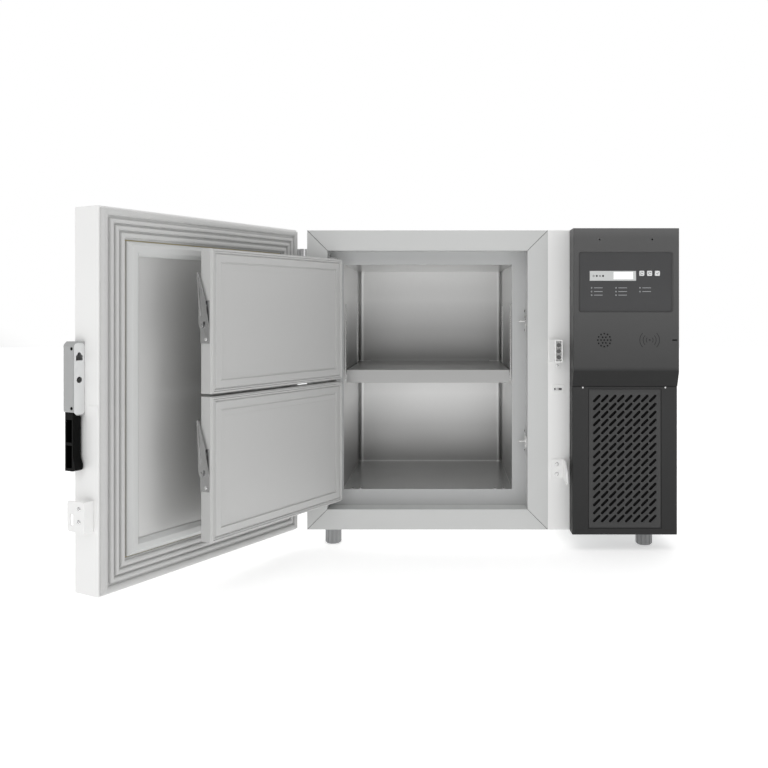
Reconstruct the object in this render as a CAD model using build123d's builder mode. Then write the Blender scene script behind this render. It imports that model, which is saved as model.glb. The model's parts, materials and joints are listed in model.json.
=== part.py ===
from build123d import *
import os
from math import cos, radians, sin, sqrt

# Undercounter ultra low temperature freezer with its doors standing open.
# Millimetres. x runs to the right, y to the back and z up, seen from the front.
# Places are given in the cabinet's own frame: x from its left side, y from the front
# of its door frame and z from the floor. Anything on a door is given where it lies
# when that door is shut, and the door's frame turns it open.

# Cabinet
frame_width = 629.0         # grey door frame
post_width = 57.0           # painted post between the door frame and the machine bay
bay_width = 269.0
case_height = 782.0
case_depth = 590.0
ride_height = 43.0          # underside above the floor
sheet = 1.5                 # painted steel sheet
over = 4.0                  # overrun of a cut past the face that it leaves
seam = 0.3                  # gap between pieces that move or slide past each other
case_width = frame_width + post_width
case_bottom = ride_height
case_top = ride_height + case_height
bay_left = case_width + seam
bay_right = case_width + bay_width

# Mouth of the cabinet
rail_width = 53.0
rail_wall = 3.0
mitre_gap = 0.7
recess_depth = 54.5
land_wall = 3.0
mouth_left = rail_width
mouth_right = frame_width - rail_width
mouth_bottom = case_bottom + rail_width
mouth_top = case_top - rail_width
mouth_middle = (mouth_bottom + mouth_top) / 2

# Liner and shelf
land_sides = 36.5           # land left of and right of the liner
land_ends = 38.0            # land above and below it
liner_width = mouth_right - mouth_left - 2 * land_sides
liner_height = mouth_top - mouth_bottom - 2 * land_ends
liner_foam = 94.5           # foam behind the liner
liner_rise = 4.0            # liner above the middle of the mouth
liner_wall = 1.2
liner_flange = 9.0
liner_corner = 14.0         # upright corners at the liner's back
liner_left = mouth_left + land_sides
liner_right = liner_left + liner_width
liner_bottom = mouth_middle + liner_rise - liner_height / 2
liner_top = liner_bottom + liner_height
liner_front = recess_depth + land_wall
liner_back = case_depth - liner_foam
liner_depth = liner_back - liner_front
shelf_drop = 34.5           # depth of the shelf's front lip
shelf_sheet = 1.2
shelf_lip = 14.0
shelf_return = 8.0          # side returns of the front lip
shelf_inset = 20.0          # front lip behind the land
shelf_gap = 5.0             # shelf to liner, each side
shelf_rail_inset = 32.5     # low rail from the shelf's sides
shelf_rail_height = 8.0
shelf_top = liner_bottom + (liner_height + shelf_drop) / 2
shelf_left = liner_left + shelf_gap
shelf_right = liner_right - shelf_gap
shelf_front = liner_front + shelf_inset
shelf_back = liner_back - shelf_gap
standard_width = 16.0
standard_wall = 2.5
standard_height = 192.0
standard_inset_shares = (0.09, 0.85)   # of the liner's depth
standard_slots = 5
slot_height = 12.0
slot_width = 4.0
clip_size = 12.0
clip_wall = 2.0
stay_width = 5.0            # small clips on the liner's front edge
stay_height = 16.0
stay_wall = 1.0
stay_shares = (0.05, 0.1, 0.9, 0.95)   # of the liner's width

# Cooling coil, a flat tube laid round the liner
coil_height = 10.0
coil_depth = 6.0
coil_turns = 5
coil_margin = 60.0

# Main door, shut in front of the door frame
door_angle = 118.8          # as the doors stand
door_width = 626.0
door_height = 779.5
door_inset = 0.5
door_thickness = 70.0
door_gap = 10.0             # pan to door frame, filled by the gasket
pivot_out = 11.5            # hinge line outside the case
pivot_back = 1.0            # hinge line behind the front of the door frame
pan_sheet = 1.5
pan_lip = 4.0
pan_fillet = 2.5
door_left = door_inset
door_right = door_inset + door_width
door_top = case_top
door_bottom = case_top - door_height
pan_inside = -door_gap
pan_outside = pan_inside - door_thickness
gasket_base = 1.6
gasket_starts = (3.0, 23.5, 37.5, 50.5)     # ribs, from the door's edge
gasket_widths = (15.0, 8.0, 8.0, 9.5)
gasket_end = 64.0
plug_start = 66.5
plug_width = 30.5
plug_rise = 14.0            # plug frame proud of the pan
plug_bevel = 9.0
panel_sheet = 1.2

# Main hinges
barrel_radius = 11.0
barrel_height = 92.0
barrel_cap = 3.0
hinge_pin_radius = 5.0
hinge_fit = 0.05
hinge_drop = 49.0           # top of the upper barrel under the case's top
hinge_leaf = 3.0
hinge_leaf_reach = 52.0
hinge_leaf_start = 16.0
hinge_web = 6.0

# Handle on the door's free edge
handle_base = 407.0
handle_height = 147.0
handle_near = 39.0          # from the pan's inner face outwards
handle_far = 72.0
handle_out = 26.6
handle_wall = 3.0
handle_bevel = 9.0
mouth_slot_rise = 115.0     # keyhole for the striker's stud above the housing's foot
mouth_slot_width = 16.0
mouth_slot_height = 12.0
mouth_hole_rise = 71.0
mouth_hole_radius = 6.5
lever_pivot_rise = 32.0
lever_axle_radius = 4.0
lever_width = 19.0
lever_depth = 26.0
lever_drop = 111.0          # grip below the housing
lever_wall = 3.0
lever_window = 48.0

# Padlock hasps, the switch and the striker
hasp_sheet = 2.5
hasp_height = 62.0
hasp_drop = 58.0            # below the lever
hasp_high = handle_base - lever_drop - hasp_drop
hasp_low = hasp_high - hasp_height
hasp_near = 12.6
hasp_far = 62.4
hasp_out = 23.5
hasp_corner = 7.0
hasp_slot_width = 8.0
hasp_slot_height = 21.0
hasp_slot_from_tip = 13.0
pad_height = 23.0
pad_width = 25.0
pad_drop = 4.0              # below the handle's foot
pad_low = handle_base - pad_drop
pad_thick = 1.6
switch_inset = 11.0         # from the post's left edge
switch_width = 31.0
switch_height = 24.0
switch_thick = 2.0
switch_left = frame_width + switch_inset
switch_low = pad_low - (switch_height - pad_height) / 2 - pad_drop
striker_inset = 2.5
striker_width = 31.5
striker_slope = 11.5        # how far its left side leans in
striker_rise = 75.0         # above the handle's foot
striker_height = 58.0
striker_left = frame_width + striker_inset
striker_face_left = striker_left + striker_slope
striker_right = striker_left + striker_width
striker_low = handle_base + striker_rise
striker_high = striker_low + striker_height
striker_out = 36.0
striker_wall = 3.0
striker_cavity = 10.0
striker_tab_height = 18.0
striker_tab_left = striker_face_left + striker_wall
striker_stud_radius = 3.0
post_hasp_inset = 10.0
post_hasp_width = 32.0
post_hasp_height = 49.0
post_hasp_left = frame_width + post_hasp_inset
post_hasp_right = post_hasp_left + post_hasp_width
post_hasp_low = hasp_low + hasp_sheet
post_hasp_high = post_hasp_low + post_hasp_height
post_hasp_out = 70.0

# Inner doors
inner_side = 23.0           # door's edge from the mouth's left side
inner_clear = 22.0          # and from its right side
inner_end = 23.0            # and from its top and foot
inner_gap = 6.0
inner_left = mouth_left + inner_side
inner_width = mouth_right - inner_clear - inner_left
inner_height = (mouth_top - mouth_bottom - 2 * inner_end - inner_gap) / 2
inner_thickness = 30.0
inner_gasket = 4.0          # gasket proud of the inner door
inner_pivot_out = 8.0       # hinge line outside the door's edge
inner_pivot_in = 0.3        # and behind its outer face
inner_right = inner_left + inner_width
inner_back = recess_depth - inner_gasket - seam
inner_front = inner_back - inner_thickness
inner_pivot_x = inner_left - inner_pivot_out
inner_pivot_y = inner_front + inner_pivot_in
inner_low = (mouth_middle - inner_gap / 2 - inner_height, mouth_middle + inner_gap / 2)
inner_corner = 2.0
inner_sheet = 1.0
inner_rim = 4.0
inner_seal_widths = (2.0, 7.0)     # from the door's edge
inner_frame_start = 10.5
inner_frame_width = 17.0
inner_frame_rise = 3.2
inner_frame_bevel = 2.4
inner_panel_start = 44.0
inner_panel_rise = 1.2
inner_pin_radius = 4.0
inner_pin_reach = 14.0
knuckle_wall = 3.0          # lobe of the inner door round the pin
knuckle_height = 26.0
bracket_wall = 2.6          # foot of a hinge bracket on the recess wall
bracket_height = 22.0
bracket_reach = 6.0         # plate past the pin

# Latches of the inner doors
latch_base_low = 108.0      # above the inner door's foot
latch_base_high = 200.0
latch_sheet = 2.0
latch_near = 1.0
latch_far = 26.0
latch_boss = 1.0            # boss under the lever, and head over it
latch_pivot_rise = 147.0
latch_pivot_back = 6.0
latch_pin_radius = 2.5
latch_pin_head = 4.5
latch_head_sides = 6
latch_wall = 3.0            # thickness of the lever
latch_hub = 6.0
latch_length = 114.0
latch_tip_near = 12.0       # lever's edges in front of (near) and behind (far) its pivot
latch_tip_far = -8.0
latch_middle_rise = 56.0
latch_middle_near = 8.0
latch_middle_far = 12.6
latch_hook_inner = 17.0
latch_hook_outer = 22.0
latch_hook_low = 4.0        # degrees above level
latch_hook_high = 28.0
latch_notch = 8.4
strike_reach = 12.5         # pin from the latch's pivot
strike_turn = 14.0
strike_pin_radius = 3.0
strike_plate = 30.0
strike_wall = 2.5
strike_fit = 0.6

# Charcoal front of the machine bay
hood_out = 66.0             # control housing proud of the door frame
hood_height = 403.0
hood_slant = 44.0           # height of its slanted underside
hood_low = case_top - hood_height
hood_nose = hood_low + hood_slant
fascia_out = 46.0
fascia_low = 41.0
moulding = 3.0              # wall of the mouldings
hood_fillet = 4.0
display_side = 12.2         # sunk panel from the housing's left side
display_right_side = 15.0
display_top = 58.5
display_height = 156.0
display_left = bay_left + display_side
display_right = bay_right - display_right_side
display_high = case_top - display_top
display_low = display_high - display_height
display_corner = 8.0
display_sink = 4.5
display_slope = 3.2         # bevel round the sunk panel
overlay_gap = 0.6
overlay_sheet = 1.0
window_inset = 29.3         # screen from the sunk panel's left side
window_width = 118.3
window_drop = 50.0
window_height = 25.5
window_left = display_left + window_inset
window_right = window_left + window_width
window_high = display_high - window_drop
window_low = window_high - window_height
screen_sink = 0.5           # screen behind the overlay's face
key_size = 13.0
key_corner = 3.0
key_pitch = 19.8
key_start = 14.2            # first key's middle from the screen
key_drop = 6.4              # and below its top
key_first = window_right + key_start
key_level = window_high - key_drop
key_fit = 0.25
key_proud = 1.0
key_travel = 0.8
key_flange = 1.2
key_flange_wall = 1.0
stem_width = 4.0
contact_size = 6.0          # key contact on the board
contact_height = 3.0
board_gap = 8.0             # board behind the display wall
board_sheet = 1.6
board_inset = 16.0          # board inside the sunk panel
board_left = display_left + board_inset
board_right = display_right - board_inset
board_low = display_low + board_inset
board_high = display_high - board_inset
board_post_width = 6.0
board_post_inset = 8.0
speaker_inset = 78.1        # speaker from the housing's left side
reader_inset = 75.6         # reader from its right side
sound_drop = 70.0           # both below the sunk panel
speaker_x = bay_left + speaker_inset
reader_x = bay_right - reader_inset
sound_level = display_low - sound_drop
speaker_radius = 20.0
speaker_depth = 14.0
sound_hole_radius = 1.7
sound_ring = 8.2            # step from one ring of sound holes to the next
sound_rings = 2
small_hole_sides = 8
reader_size = 58.0
reader_depth = 8.0
card_slot_inset = 18.0
card_slot_left = bay_right - card_slot_inset
card_slot_width = 13.0
card_slot_height = 3.0
vent_hole_pitch = 133.5
vent_hole_drop = 29.0
vent_hole_middle = (display_left + display_right) / 2
vent_hole_x = (vent_hole_middle - vent_hole_pitch / 2, vent_hole_middle + vent_hole_pitch / 2)
vent_hole_level = case_top - vent_hole_drop
vent_hole_radius = 2.2

# Intake grille, pulled off to the front to reach the filter
grille_side = 41.0          # opening from the fascia's sides
grille_foot = 17.0          # and from its foot
grille_head = 7.0           # and from its top
grille_left = bay_left + grille_side
grille_right = bay_right - grille_side
grille_low = fascia_low + grille_foot
grille_high = hood_low - grille_head
grille_fit = 1.2
grille_wall = 3.0
grille_sink = 1.0
grille_ledge = 6.0          # ledge of the fascia that the grille sits on
ledge_wall = 2.0
grille_pitch = 20.5
grille_slot_length = 27.0
grille_slot_width = 6.8
grille_edge = 11.0          # plain edge round the slots
grille_columns = int((grille_right - grille_left - 2 * grille_edge) / grille_pitch)
grille_rows = int((grille_high - grille_low - 2 * grille_edge) / grille_pitch)
filter_depth = 9.0
filter_gap = 1.0
filter_frame = 9.0
filter_pad = 3.0

# Machine bay
pan_flange = 18.0
louvre_width = 90.0
louvre_height = 7.0
louvre_pitch = 22.0
louvre_rows = 6
louvre_rise = 257.0         # lowest louvre above the case's underside
louvre_level = case_bottom + louvre_rise
louvre_hood = 5.0
condenser_front = 12.0
condenser_depth = 46.0
condenser_rise = 31.0       # core above the case's underside
condenser_height = 318.0
condenser_inset = 30.0
condenser_low = case_bottom + condenser_rise
condenser_high = condenser_low + condenser_height
condenser_left = bay_left + condenser_inset
condenser_right = bay_right - condenser_inset
condenser_plate = 2.0
fin_grooves = 12
fin_groove_width = 3.0
fin_groove_depth = 4.0
tube_radius = 4.0
return_bend = 13.0
return_bends = 2
shroud_depth = 40.0
shroud_wall = 2.0
fan_radius = 88.0
fan_gap = 3.0
fan_hub_radius = 26.0
fan_hub_depth = 24.0
fan_blades = 5
fan_blade_chord = 54.0
fan_blade_camber = 7.0
fan_blade_pitch = 32.0      # degrees from the plane of the fan
fan_blade_wall = 2.0
fan_shaft_radius = 4.0
motor_radius = 30.0
motor_depth = 46.0
spider_arms = 3
spider_width = 12.0
spider_wall = 4.0
compressor_radius = 68.0
compressor_height = 178.0
compressor_dome = 34.0
compressor_crown_shares = ((0.86, 0.35), (0.5, 0.0))    # radius of the dome, and how far below its top
compressor_seam = 3.0
compressor_plate = 150.0
compressor_plate_wall = 4.0
stub_width = 12.0
stub_height = 12.0
stub_offset = 28.0
mount_width = 22.0
mount_height = 16.0
mount_pitch = 122.0
exchanger_radius = 32.0
exchanger_height = 250.0
exchanger_rise = 287.0
exchanger_side = 55.0
exchanger_rear = 70.0
exchanger_low = case_bottom + exchanger_rise
exchanger_x = bay_right - exchanger_side
exchanger_y = case_depth - exchanger_rear
strap_wall = 3.0
strap_height = 20.0
drier_radius = 11.0
drier_length = 90.0
pipe_radius = 4.0
pipe_sides = 6
pipe_bend = 24.0
pipe_rise = 42.0            # discharge line above the condenser
pipe_loop = 32.0            # lines over and under the heat exchanger
pipe_spread = 12.0
liquid_line_inset = 24.0
liquid_line_x = condenser_left + liquid_line_inset
inlet_width = 50.0
inlet_height = 32.0
inlet_rise = 67.0
inlet_x = (bay_left + bay_right) / 2
inlet_level = case_bottom + inlet_rise
inlet_depth = 26.0
inlet_rim = 4.0
inlet_wall = 2.5
inlet_pin = 4.0
inlet_pin_length = 16.0

# Levelling feet
foot_radius = 21.5
foot_collar = 6.0
foot_bevel = 4.0
foot_flutes = 12
flute_width = 3.2
flute_depth = 1.6
foot_stud_radius = 6.0
foot_stud_length = 24.0
foot_stud_sides = 8
foot_fit = 0.1
socket_width = 28.0
socket_height = 26.0
foot_inset_left = 64.0
foot_inset_right = 70.0
foot_inset_front = (40.0, 24.0)    # left and right
foot_inset_back = 48.0
foot_left = ((foot_inset_left, foot_inset_front[0]), (foot_inset_left, case_depth - foot_inset_back))
foot_right = (
    (bay_right - foot_inset_right, foot_inset_front[1]),
    (bay_right - foot_inset_right, case_depth - foot_inset_back),
)

# The origin is on the floor under the middle of the freezer as it stands open.
turn = radians(door_angle)
handle_right = door_right + handle_out
hasp_plane = door_right + hasp_out
reach_left = (
    -pivot_out
    + (handle_right + pivot_out) * cos(turn)
    + (pan_inside - handle_far - pivot_back) * sin(turn)
)
reach_front = (
    pivot_back
    - (hasp_plane + pivot_out) * sin(turn)
    + (pan_inside - hasp_near - pivot_back) * cos(turn)
)
middle_x = (reach_left + bay_right) / 2
middle_y = (reach_front + case_depth) / 2
cab = Plane(origin=(-middle_x, -middle_y, 0), x_dir=(1, 0, 0), z_dir=(0, 0, 1))


def swung(pivot_x, pivot_y):
    """Cabinet frame turned open about a vertical hinge line."""
    across = Vector(cos(turn), -sin(turn), 0)
    inward = Vector(sin(turn), cos(turn), 0)
    corner = Vector(pivot_x, pivot_y, 0) - across * pivot_x - inward * pivot_y
    return Plane(origin=cab.from_local_coords(corner), x_dir=across, z_dir=(0, 0, 1))


door = swung(-pivot_out, pivot_back)
inner = swung(inner_pivot_x, inner_pivot_y)


def facing(frame, depth):
    """Plane at this depth that looks out to the front, x right and y up."""
    origin = frame.from_local_coords(Vector(0, depth, 0))
    return Plane(origin=origin, x_dir=frame.x_dir, z_dir=frame.y_dir * -1)


def across(frame, place):
    """Plane at this x that looks to the right, x to the back and y up."""
    origin = frame.from_local_coords(Vector(place, 0, 0))
    return Plane(origin=origin, x_dir=frame.y_dir, z_dir=frame.x_dir)


def span(x, y, mode=Mode.ADD, corner=0.0):
    """Rectangle between two limits each way, with round corners if asked."""
    with Locations(((x[0] + x[1]) / 2, (y[0] + y[1]) / 2)):
        if corner:
            RectangleRounded(x[1] - x[0], y[1] - y[0], corner, mode=mode)
        else:
            Rectangle(x[1] - x[0], y[1] - y[0], mode=mode)


def block(x, y, z, mode=Mode.ADD):
    """Box between two limits each way, in the frame of the part."""
    with Locations(((x[0] + x[1]) / 2, (y[0] + y[1]) / 2, (z[0] + z[1]) / 2)):
        Box(x[1] - x[0], y[1] - y[0], z[1] - z[0], mode=mode)


def tub(x, y, corner, mode=Mode.ADD):
    """Plan of a tub open to the front, with both back corners rounded."""
    span(x, (y[0], y[1] - corner), mode=mode)
    span(grown(x, -corner), y, mode=mode)
    with Locations((x[0] + corner, y[1] - corner), (x[1] - corner, y[1] - corner)):
        Circle(corner, mode=mode)


def grown(limits, by):
    """Two limits moved apart, or together if by is negative."""
    return (limits[0] - by, limits[1] + by)


def save(piece, name):
    """Label a finished part and write it."""
    piece.part.label = name
    export_step(piece.part, f"parts/{name}.step")


os.makedirs("parts", exist_ok=True)
frame_x = (0, frame_width)
case_x = (0, case_width)
case_z = (case_bottom, case_top)
mouth_x = (mouth_left, mouth_right)
mouth_z = (mouth_bottom, mouth_top)
liner_x = (liner_left, liner_right)
liner_z = (liner_bottom, liner_top)

# Painted case, folded round the foam, with the post at its right front
with BuildPart(cab) as cabinet_shell:
    block(case_x, (0, case_depth), case_z)
    block(
        grown(case_x, -sheet), (-over, case_depth - sheet), grown(case_z, -sheet),
        mode=Mode.SUBTRACT,
    )
    block(
        (-over, frame_width), (-over, rail_wall), grown(case_z, over), mode=Mode.SUBTRACT
    )
    block((frame_width, case_width), (0, sheet), case_z)
    block((frame_width, frame_width + sheet), (0, rail_width), case_z)
    for x, y in foot_left:
        with Locations((x, y, case_bottom + socket_height / 2)):
            Box(socket_width, socket_width, socket_height)
            Cylinder(foot_stud_radius + foot_fit, socket_height + over, mode=Mode.SUBTRACT)
save(cabinet_shell, "cabinet_shell")

# Door frame of four mitred rails, each with a return that lines the mouth
rail_diagonal = rail_width * sqrt(2) + over
with BuildPart() as breaker_rails:
    with BuildSketch(facing(cab, rail_wall)):
        span(frame_x, case_z)
        span(mouth_x, mouth_z, mode=Mode.SUBTRACT)
    extrude(amount=rail_wall)
    with BuildSketch(facing(cab, recess_depth)):
        span(grown(mouth_x, rail_wall), grown(mouth_z, rail_wall))
        span(mouth_x, mouth_z, mode=Mode.SUBTRACT)
    extrude(amount=recess_depth - rail_wall)
    with BuildSketch(facing(cab, recess_depth + over)):
        for x, side in ((rail_width / 2, 1), (frame_width - rail_width / 2, -1)):
            for z, way in ((case_bottom + rail_width / 2, 1), (case_top - rail_width / 2, -1)):
                with Locations(Location((x, z, 0), (0, 0, 45 * side * way))):
                    Rectangle(rail_diagonal, mitre_gap)
    extrude(amount=recess_depth + 2 * over, mode=Mode.SUBTRACT)
save(breaker_rails, "breaker_rails")

# Land that the inner doors close on
with BuildPart() as recess_frame:
    with BuildSketch(facing(cab, liner_front)):
        span(grown(mouth_x, rail_wall), grown(mouth_z, rail_wall))
        span(liner_x, liner_z, mode=Mode.SUBTRACT)
    extrude(amount=land_wall)
save(recess_frame, "recess_frame")

# Stainless liner with a flange behind the land
with BuildPart() as inner_liner:
    with BuildSketch(cab.offset(liner_bottom - liner_wall)):
        tub(grown(liner_x, liner_wall), (liner_front, liner_back + liner_wall), liner_corner + liner_wall)
    extrude(amount=liner_height + 2 * liner_wall)
    with BuildSketch(facing(cab, liner_front + liner_wall)):
        span(grown(liner_x, liner_flange), grown(liner_z, liner_flange))
    extrude(amount=liner_wall)
    with BuildSketch(cab.offset(liner_bottom)):
        tub(liner_x, (liner_front - over, liner_back), liner_corner)
    extrude(amount=liner_height, mode=Mode.SUBTRACT)
save(inner_liner, "inner_liner")

# Flat cooling tube, laid in rows round the sides and back of the liner, each row joined
# to the next at its front end, and led out to the machine bay from the top row
coil_inner_x = grown(liner_x, liner_wall)
coil_outer_x = grown(coil_inner_x, coil_depth)
coil_inner_back = liner_back + liner_wall
coil_front = liner_front + coil_margin
coil_step = (liner_height - 2 * coil_margin) / (coil_turns - 1)
coil_levels = [liner_bottom + coil_margin + i * coil_step for i in range(coil_turns)]
coil_top = coil_levels[-1]
coil_sides = ((coil_outer_x[0], coil_inner_x[0]), (coil_inner_x[1], coil_outer_x[1]))
coil_end = (coil_front, coil_front + coil_height)
with BuildPart() as evaporator_coil:
    for z in coil_levels:
        with BuildSketch(cab.offset(z - coil_height / 2)):
            corner = liner_corner + liner_wall
            tub(coil_outer_x, (coil_front, coil_inner_back + coil_depth), corner + coil_depth)
            tub(coil_inner_x, (coil_front - over, coil_inner_back), corner, mode=Mode.SUBTRACT)
        extrude(amount=coil_height)
    for i in range(coil_turns - 1):
        with BuildSketch(cab.offset(coil_levels[i])):
            span(coil_sides[(i + 1) % 2], coil_end)
        extrude(amount=coil_step)
    with BuildSketch(cab.offset(coil_top - coil_height / 2)):
        span((coil_inner_x[1], case_width - sheet), coil_end)
    extrude(amount=coil_height)
save(evaporator_coil, "evaporator_coil")

# Foam between the case and the liner
with BuildPart(cab) as foam_block:
    block(grown(case_x, -sheet), (rail_wall, case_depth - sheet), grown(case_z, -sheet))
    block(
        (frame_width, frame_width + sheet), (0, rail_width), grown(case_z, over),
        mode=Mode.SUBTRACT,
    )
    block(
        grown(mouth_x, rail_wall), (0, liner_front), grown(mouth_z, rail_wall),
        mode=Mode.SUBTRACT,
    )
    block(
        grown(liner_x, liner_flange), (0, liner_front + liner_wall),
        grown(liner_z, liner_flange), mode=Mode.SUBTRACT,
    )
    with BuildSketch(cab.offset(liner_bottom - liner_wall)):
        tub(grown(liner_x, liner_wall), (0, liner_back + liner_wall), liner_corner + liner_wall)
    extrude(amount=liner_height + 2 * liner_wall, mode=Mode.SUBTRACT)
    for x, y in foot_left:
        with Locations((x, y, case_bottom + socket_height / 2)):
            Box(socket_width, socket_width, socket_height, mode=Mode.SUBTRACT)
with BuildPart() as insulation_foam:
    add(foam_block.part)
    add(evaporator_coil.part, mode=Mode.SUBTRACT)
save(insulation_foam, "insulation_foam")

# Shelf, a tray with turned-down lips and a low rail at the back
shelf_x = (shelf_left, shelf_right)
with BuildPart(cab) as shelf:
    block(shelf_x, (shelf_front, shelf_back), (shelf_top - shelf_lip, shelf_top))
    block(shelf_x, (shelf_front, shelf_front + shelf_return), (shelf_top - shelf_drop, shelf_top))
    block(
        grown(shelf_x, -shelf_sheet), (shelf_front + shelf_sheet, shelf_back - shelf_sheet),
        (shelf_top - shelf_drop - over, shelf_top - shelf_sheet), mode=Mode.SUBTRACT,
    )
    rail_x = grown(shelf_x, -shelf_rail_inset)
    block(rail_x, (shelf_back - shelf_sheet, shelf_back), (shelf_top, shelf_top + shelf_rail_height))
    lip_edges = shelf.edges().filter_by(Axis.X).group_by(Axis.Z)[-2]
    fillet(lip_edges.sort_by(Axis.Y)[0], shelf_sheet / 2)
save(shelf, "shelf")

# Four slotted standards on the side walls, and the clips that carry the shelf
standard_low = shelf_top - shelf_lip
standard_z = (standard_low, standard_low + standard_height)
standard_y = [liner_front + share * liner_depth for share in standard_inset_shares]
slot_step = (standard_height - shelf_lip) / standard_slots
clip_top = shelf_top - shelf_lip
with BuildPart(cab) as shelf_supports:
    for wall, way in ((liner_left, 1), (liner_right, -1)):
        for y in standard_y:
            side = sorted((wall, wall + way * standard_wall))
            block(side, (y - standard_width / 2, y + standard_width / 2), standard_z)
            for i in range(standard_slots):
                z = standard_low + shelf_lip + (i + 0.5) * slot_step
                block(
                    grown(side, over), (y - slot_width / 2, y + slot_width / 2),
                    (z - slot_height / 2, z + slot_height / 2), mode=Mode.SUBTRACT,
                )
    for wall, way in ((liner_left, 1), (liner_right, -1)):
        for y in standard_y:
            root = wall + way * standard_wall
            width = (y - clip_size / 2, y + clip_size / 2)
            block(sorted((wall, root + way * clip_wall)), width, (clip_top - clip_size, clip_top))
            block(sorted((root, root + way * clip_size)), width, (clip_top - clip_wall, clip_top))
    for share in stay_shares:
        x = liner_left + share * liner_width
        block(
            (x - stay_width / 2, x + stay_width / 2), (liner_front, liner_front + stay_height),
            (liner_bottom, liner_bottom + stay_wall),
        )
save(shelf_supports, "shelf_supports")

# Main door pan, open to the inside, with a narrow lip round its edge
door_x = (door_left, door_right)
door_z = (door_bottom, door_top)
with BuildPart(door) as door_shell:
    block(door_x, (pan_outside, pan_inside), door_z)
    fillet(door_shell.faces().sort_by(Axis(cab.origin, door.y_dir))[0].edges(), pan_fillet)
    block(
        grown(door_x, -pan_sheet), (pan_outside + pan_sheet, pan_inside - pan_sheet),
        grown(door_z, -pan_sheet), mode=Mode.SUBTRACT,
    )
    block(
        grown(door_x, -pan_lip), (pan_inside - over, pan_inside + over), grown(door_z, -pan_lip),
        mode=Mode.SUBTRACT,
    )
save(door_shell, "door_shell")

with BuildPart(door) as door_foam:
    block(
        grown(door_x, -pan_sheet), (pan_outside + pan_sheet, pan_inside - pan_sheet),
        grown(door_z, -pan_sheet),
    )
save(door_foam, "door_foam")

# Gasket of four hollow-fronted ribs on one base strip
seat = pan_inside - pan_sheet
with BuildPart() as door_gasket:
    with BuildSketch(facing(door, seat)):
        span(grown(door_x, -pan_lip), grown(door_z, -pan_lip))
        span(grown(door_x, -gasket_end), grown(door_z, -gasket_end), mode=Mode.SUBTRACT)
    extrude(amount=-gasket_base - pan_sheet)
    for start, width in zip(gasket_starts, gasket_widths):
        rib_top = -seam
        with BuildSketch(facing(door, pan_inside + gasket_base)):
            begin = max(start, pan_lip)
            span(grown(door_x, -begin), grown(door_z, -begin))
            span(grown(door_x, -start - width), grown(door_z, -start - width), mode=Mode.SUBTRACT)
        extrude(amount=-(rib_top - pan_inside - gasket_base))
    rib_front = door_gasket.faces().sort_by(Axis(cab.origin, door.y_dir))[-4:]
    chamfer(rib_front.edges(), min(gasket_widths) / 4)
save(door_gasket, "door_gasket")

# Raised plug frame inside the gasket, bevelled on both sides
with BuildPart() as door_plug_frame:
    with BuildSketch(facing(door, seat)):
        span(grown(door_x, -plug_start), grown(door_z, -plug_start))
        hole = plug_start + plug_width
        span(grown(door_x, -hole), grown(door_z, -hole), mode=Mode.SUBTRACT)
    extrude(amount=-(plug_rise + pan_sheet))
    crown = door_plug_frame.faces().sort_by(Axis(cab.origin, door.y_dir))[-1]
    chamfer(crown.edges(), plug_bevel)
save(door_plug_frame, "door_plug_frame")

with BuildPart() as door_inner_panel:
    with BuildSketch(facing(door, seat)):
        hole = plug_start + plug_width
        span(grown(door_x, -hole), grown(door_z, -hole))
    extrude(amount=-panel_sheet - pan_sheet)
save(door_inner_panel, "door_inner_panel")

# Hinges: the cabinet's leaf carries the lower barrel and the pin, the door's leaf the upper barrel
hinge_low = (case_bottom + hinge_drop, case_top - hinge_drop - barrel_height)
knuckle = (barrel_height - seam) / 2
with BuildPart(cab) as main_hinges:
    for low in hinge_low:
        with Locations((-pivot_out, pivot_back, low + knuckle / 2)):
            Cylinder(barrel_radius, knuckle)
        with Locations((-pivot_out, pivot_back, low + (barrel_height - barrel_cap) / 2)):
            Cylinder(hinge_pin_radius, barrel_height - barrel_cap)
        block((-hinge_leaf, 0), (hinge_leaf_start, hinge_leaf_reach + hinge_leaf_start), (low, low + knuckle))
        block(
            (-pivot_out, -hinge_leaf), (pivot_back + barrel_radius - hinge_web, hinge_leaf_start + hinge_web),
            (low, low + knuckle),
        )
        block(
            (-hinge_leaf, 0), (pivot_back + barrel_radius - hinge_web, hinge_leaf_start + hinge_web),
            (low, low + knuckle),
        )
save(main_hinges, "main_hinges")

door_leaf_end = pan_inside - hinge_leaf_start
with BuildPart(door) as door_hinge_leaves:
    for low in hinge_low:
        z = (low + knuckle + seam, low + barrel_height)
        with Locations((-pivot_out, pivot_back, (z[0] + z[1]) / 2)):
            Cylinder(barrel_radius, z[1] - z[0])
        block((door_left - hinge_leaf, door_left), (door_leaf_end - hinge_leaf_reach + over, pan_inside), z)
        block(
            (-pivot_out - hinge_web / 2, door_left - hinge_leaf),
            (pan_inside - hinge_web, pivot_back - barrel_radius + hinge_web), z,
        )
        with Locations((-pivot_out, pivot_back, (z[0] + z[1] - barrel_cap) / 2)):
            Cylinder(hinge_pin_radius + hinge_fit, z[1] - z[0] - barrel_cap, mode=Mode.SUBTRACT)
save(door_hinge_leaves, "door_hinge_leaves")

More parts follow.
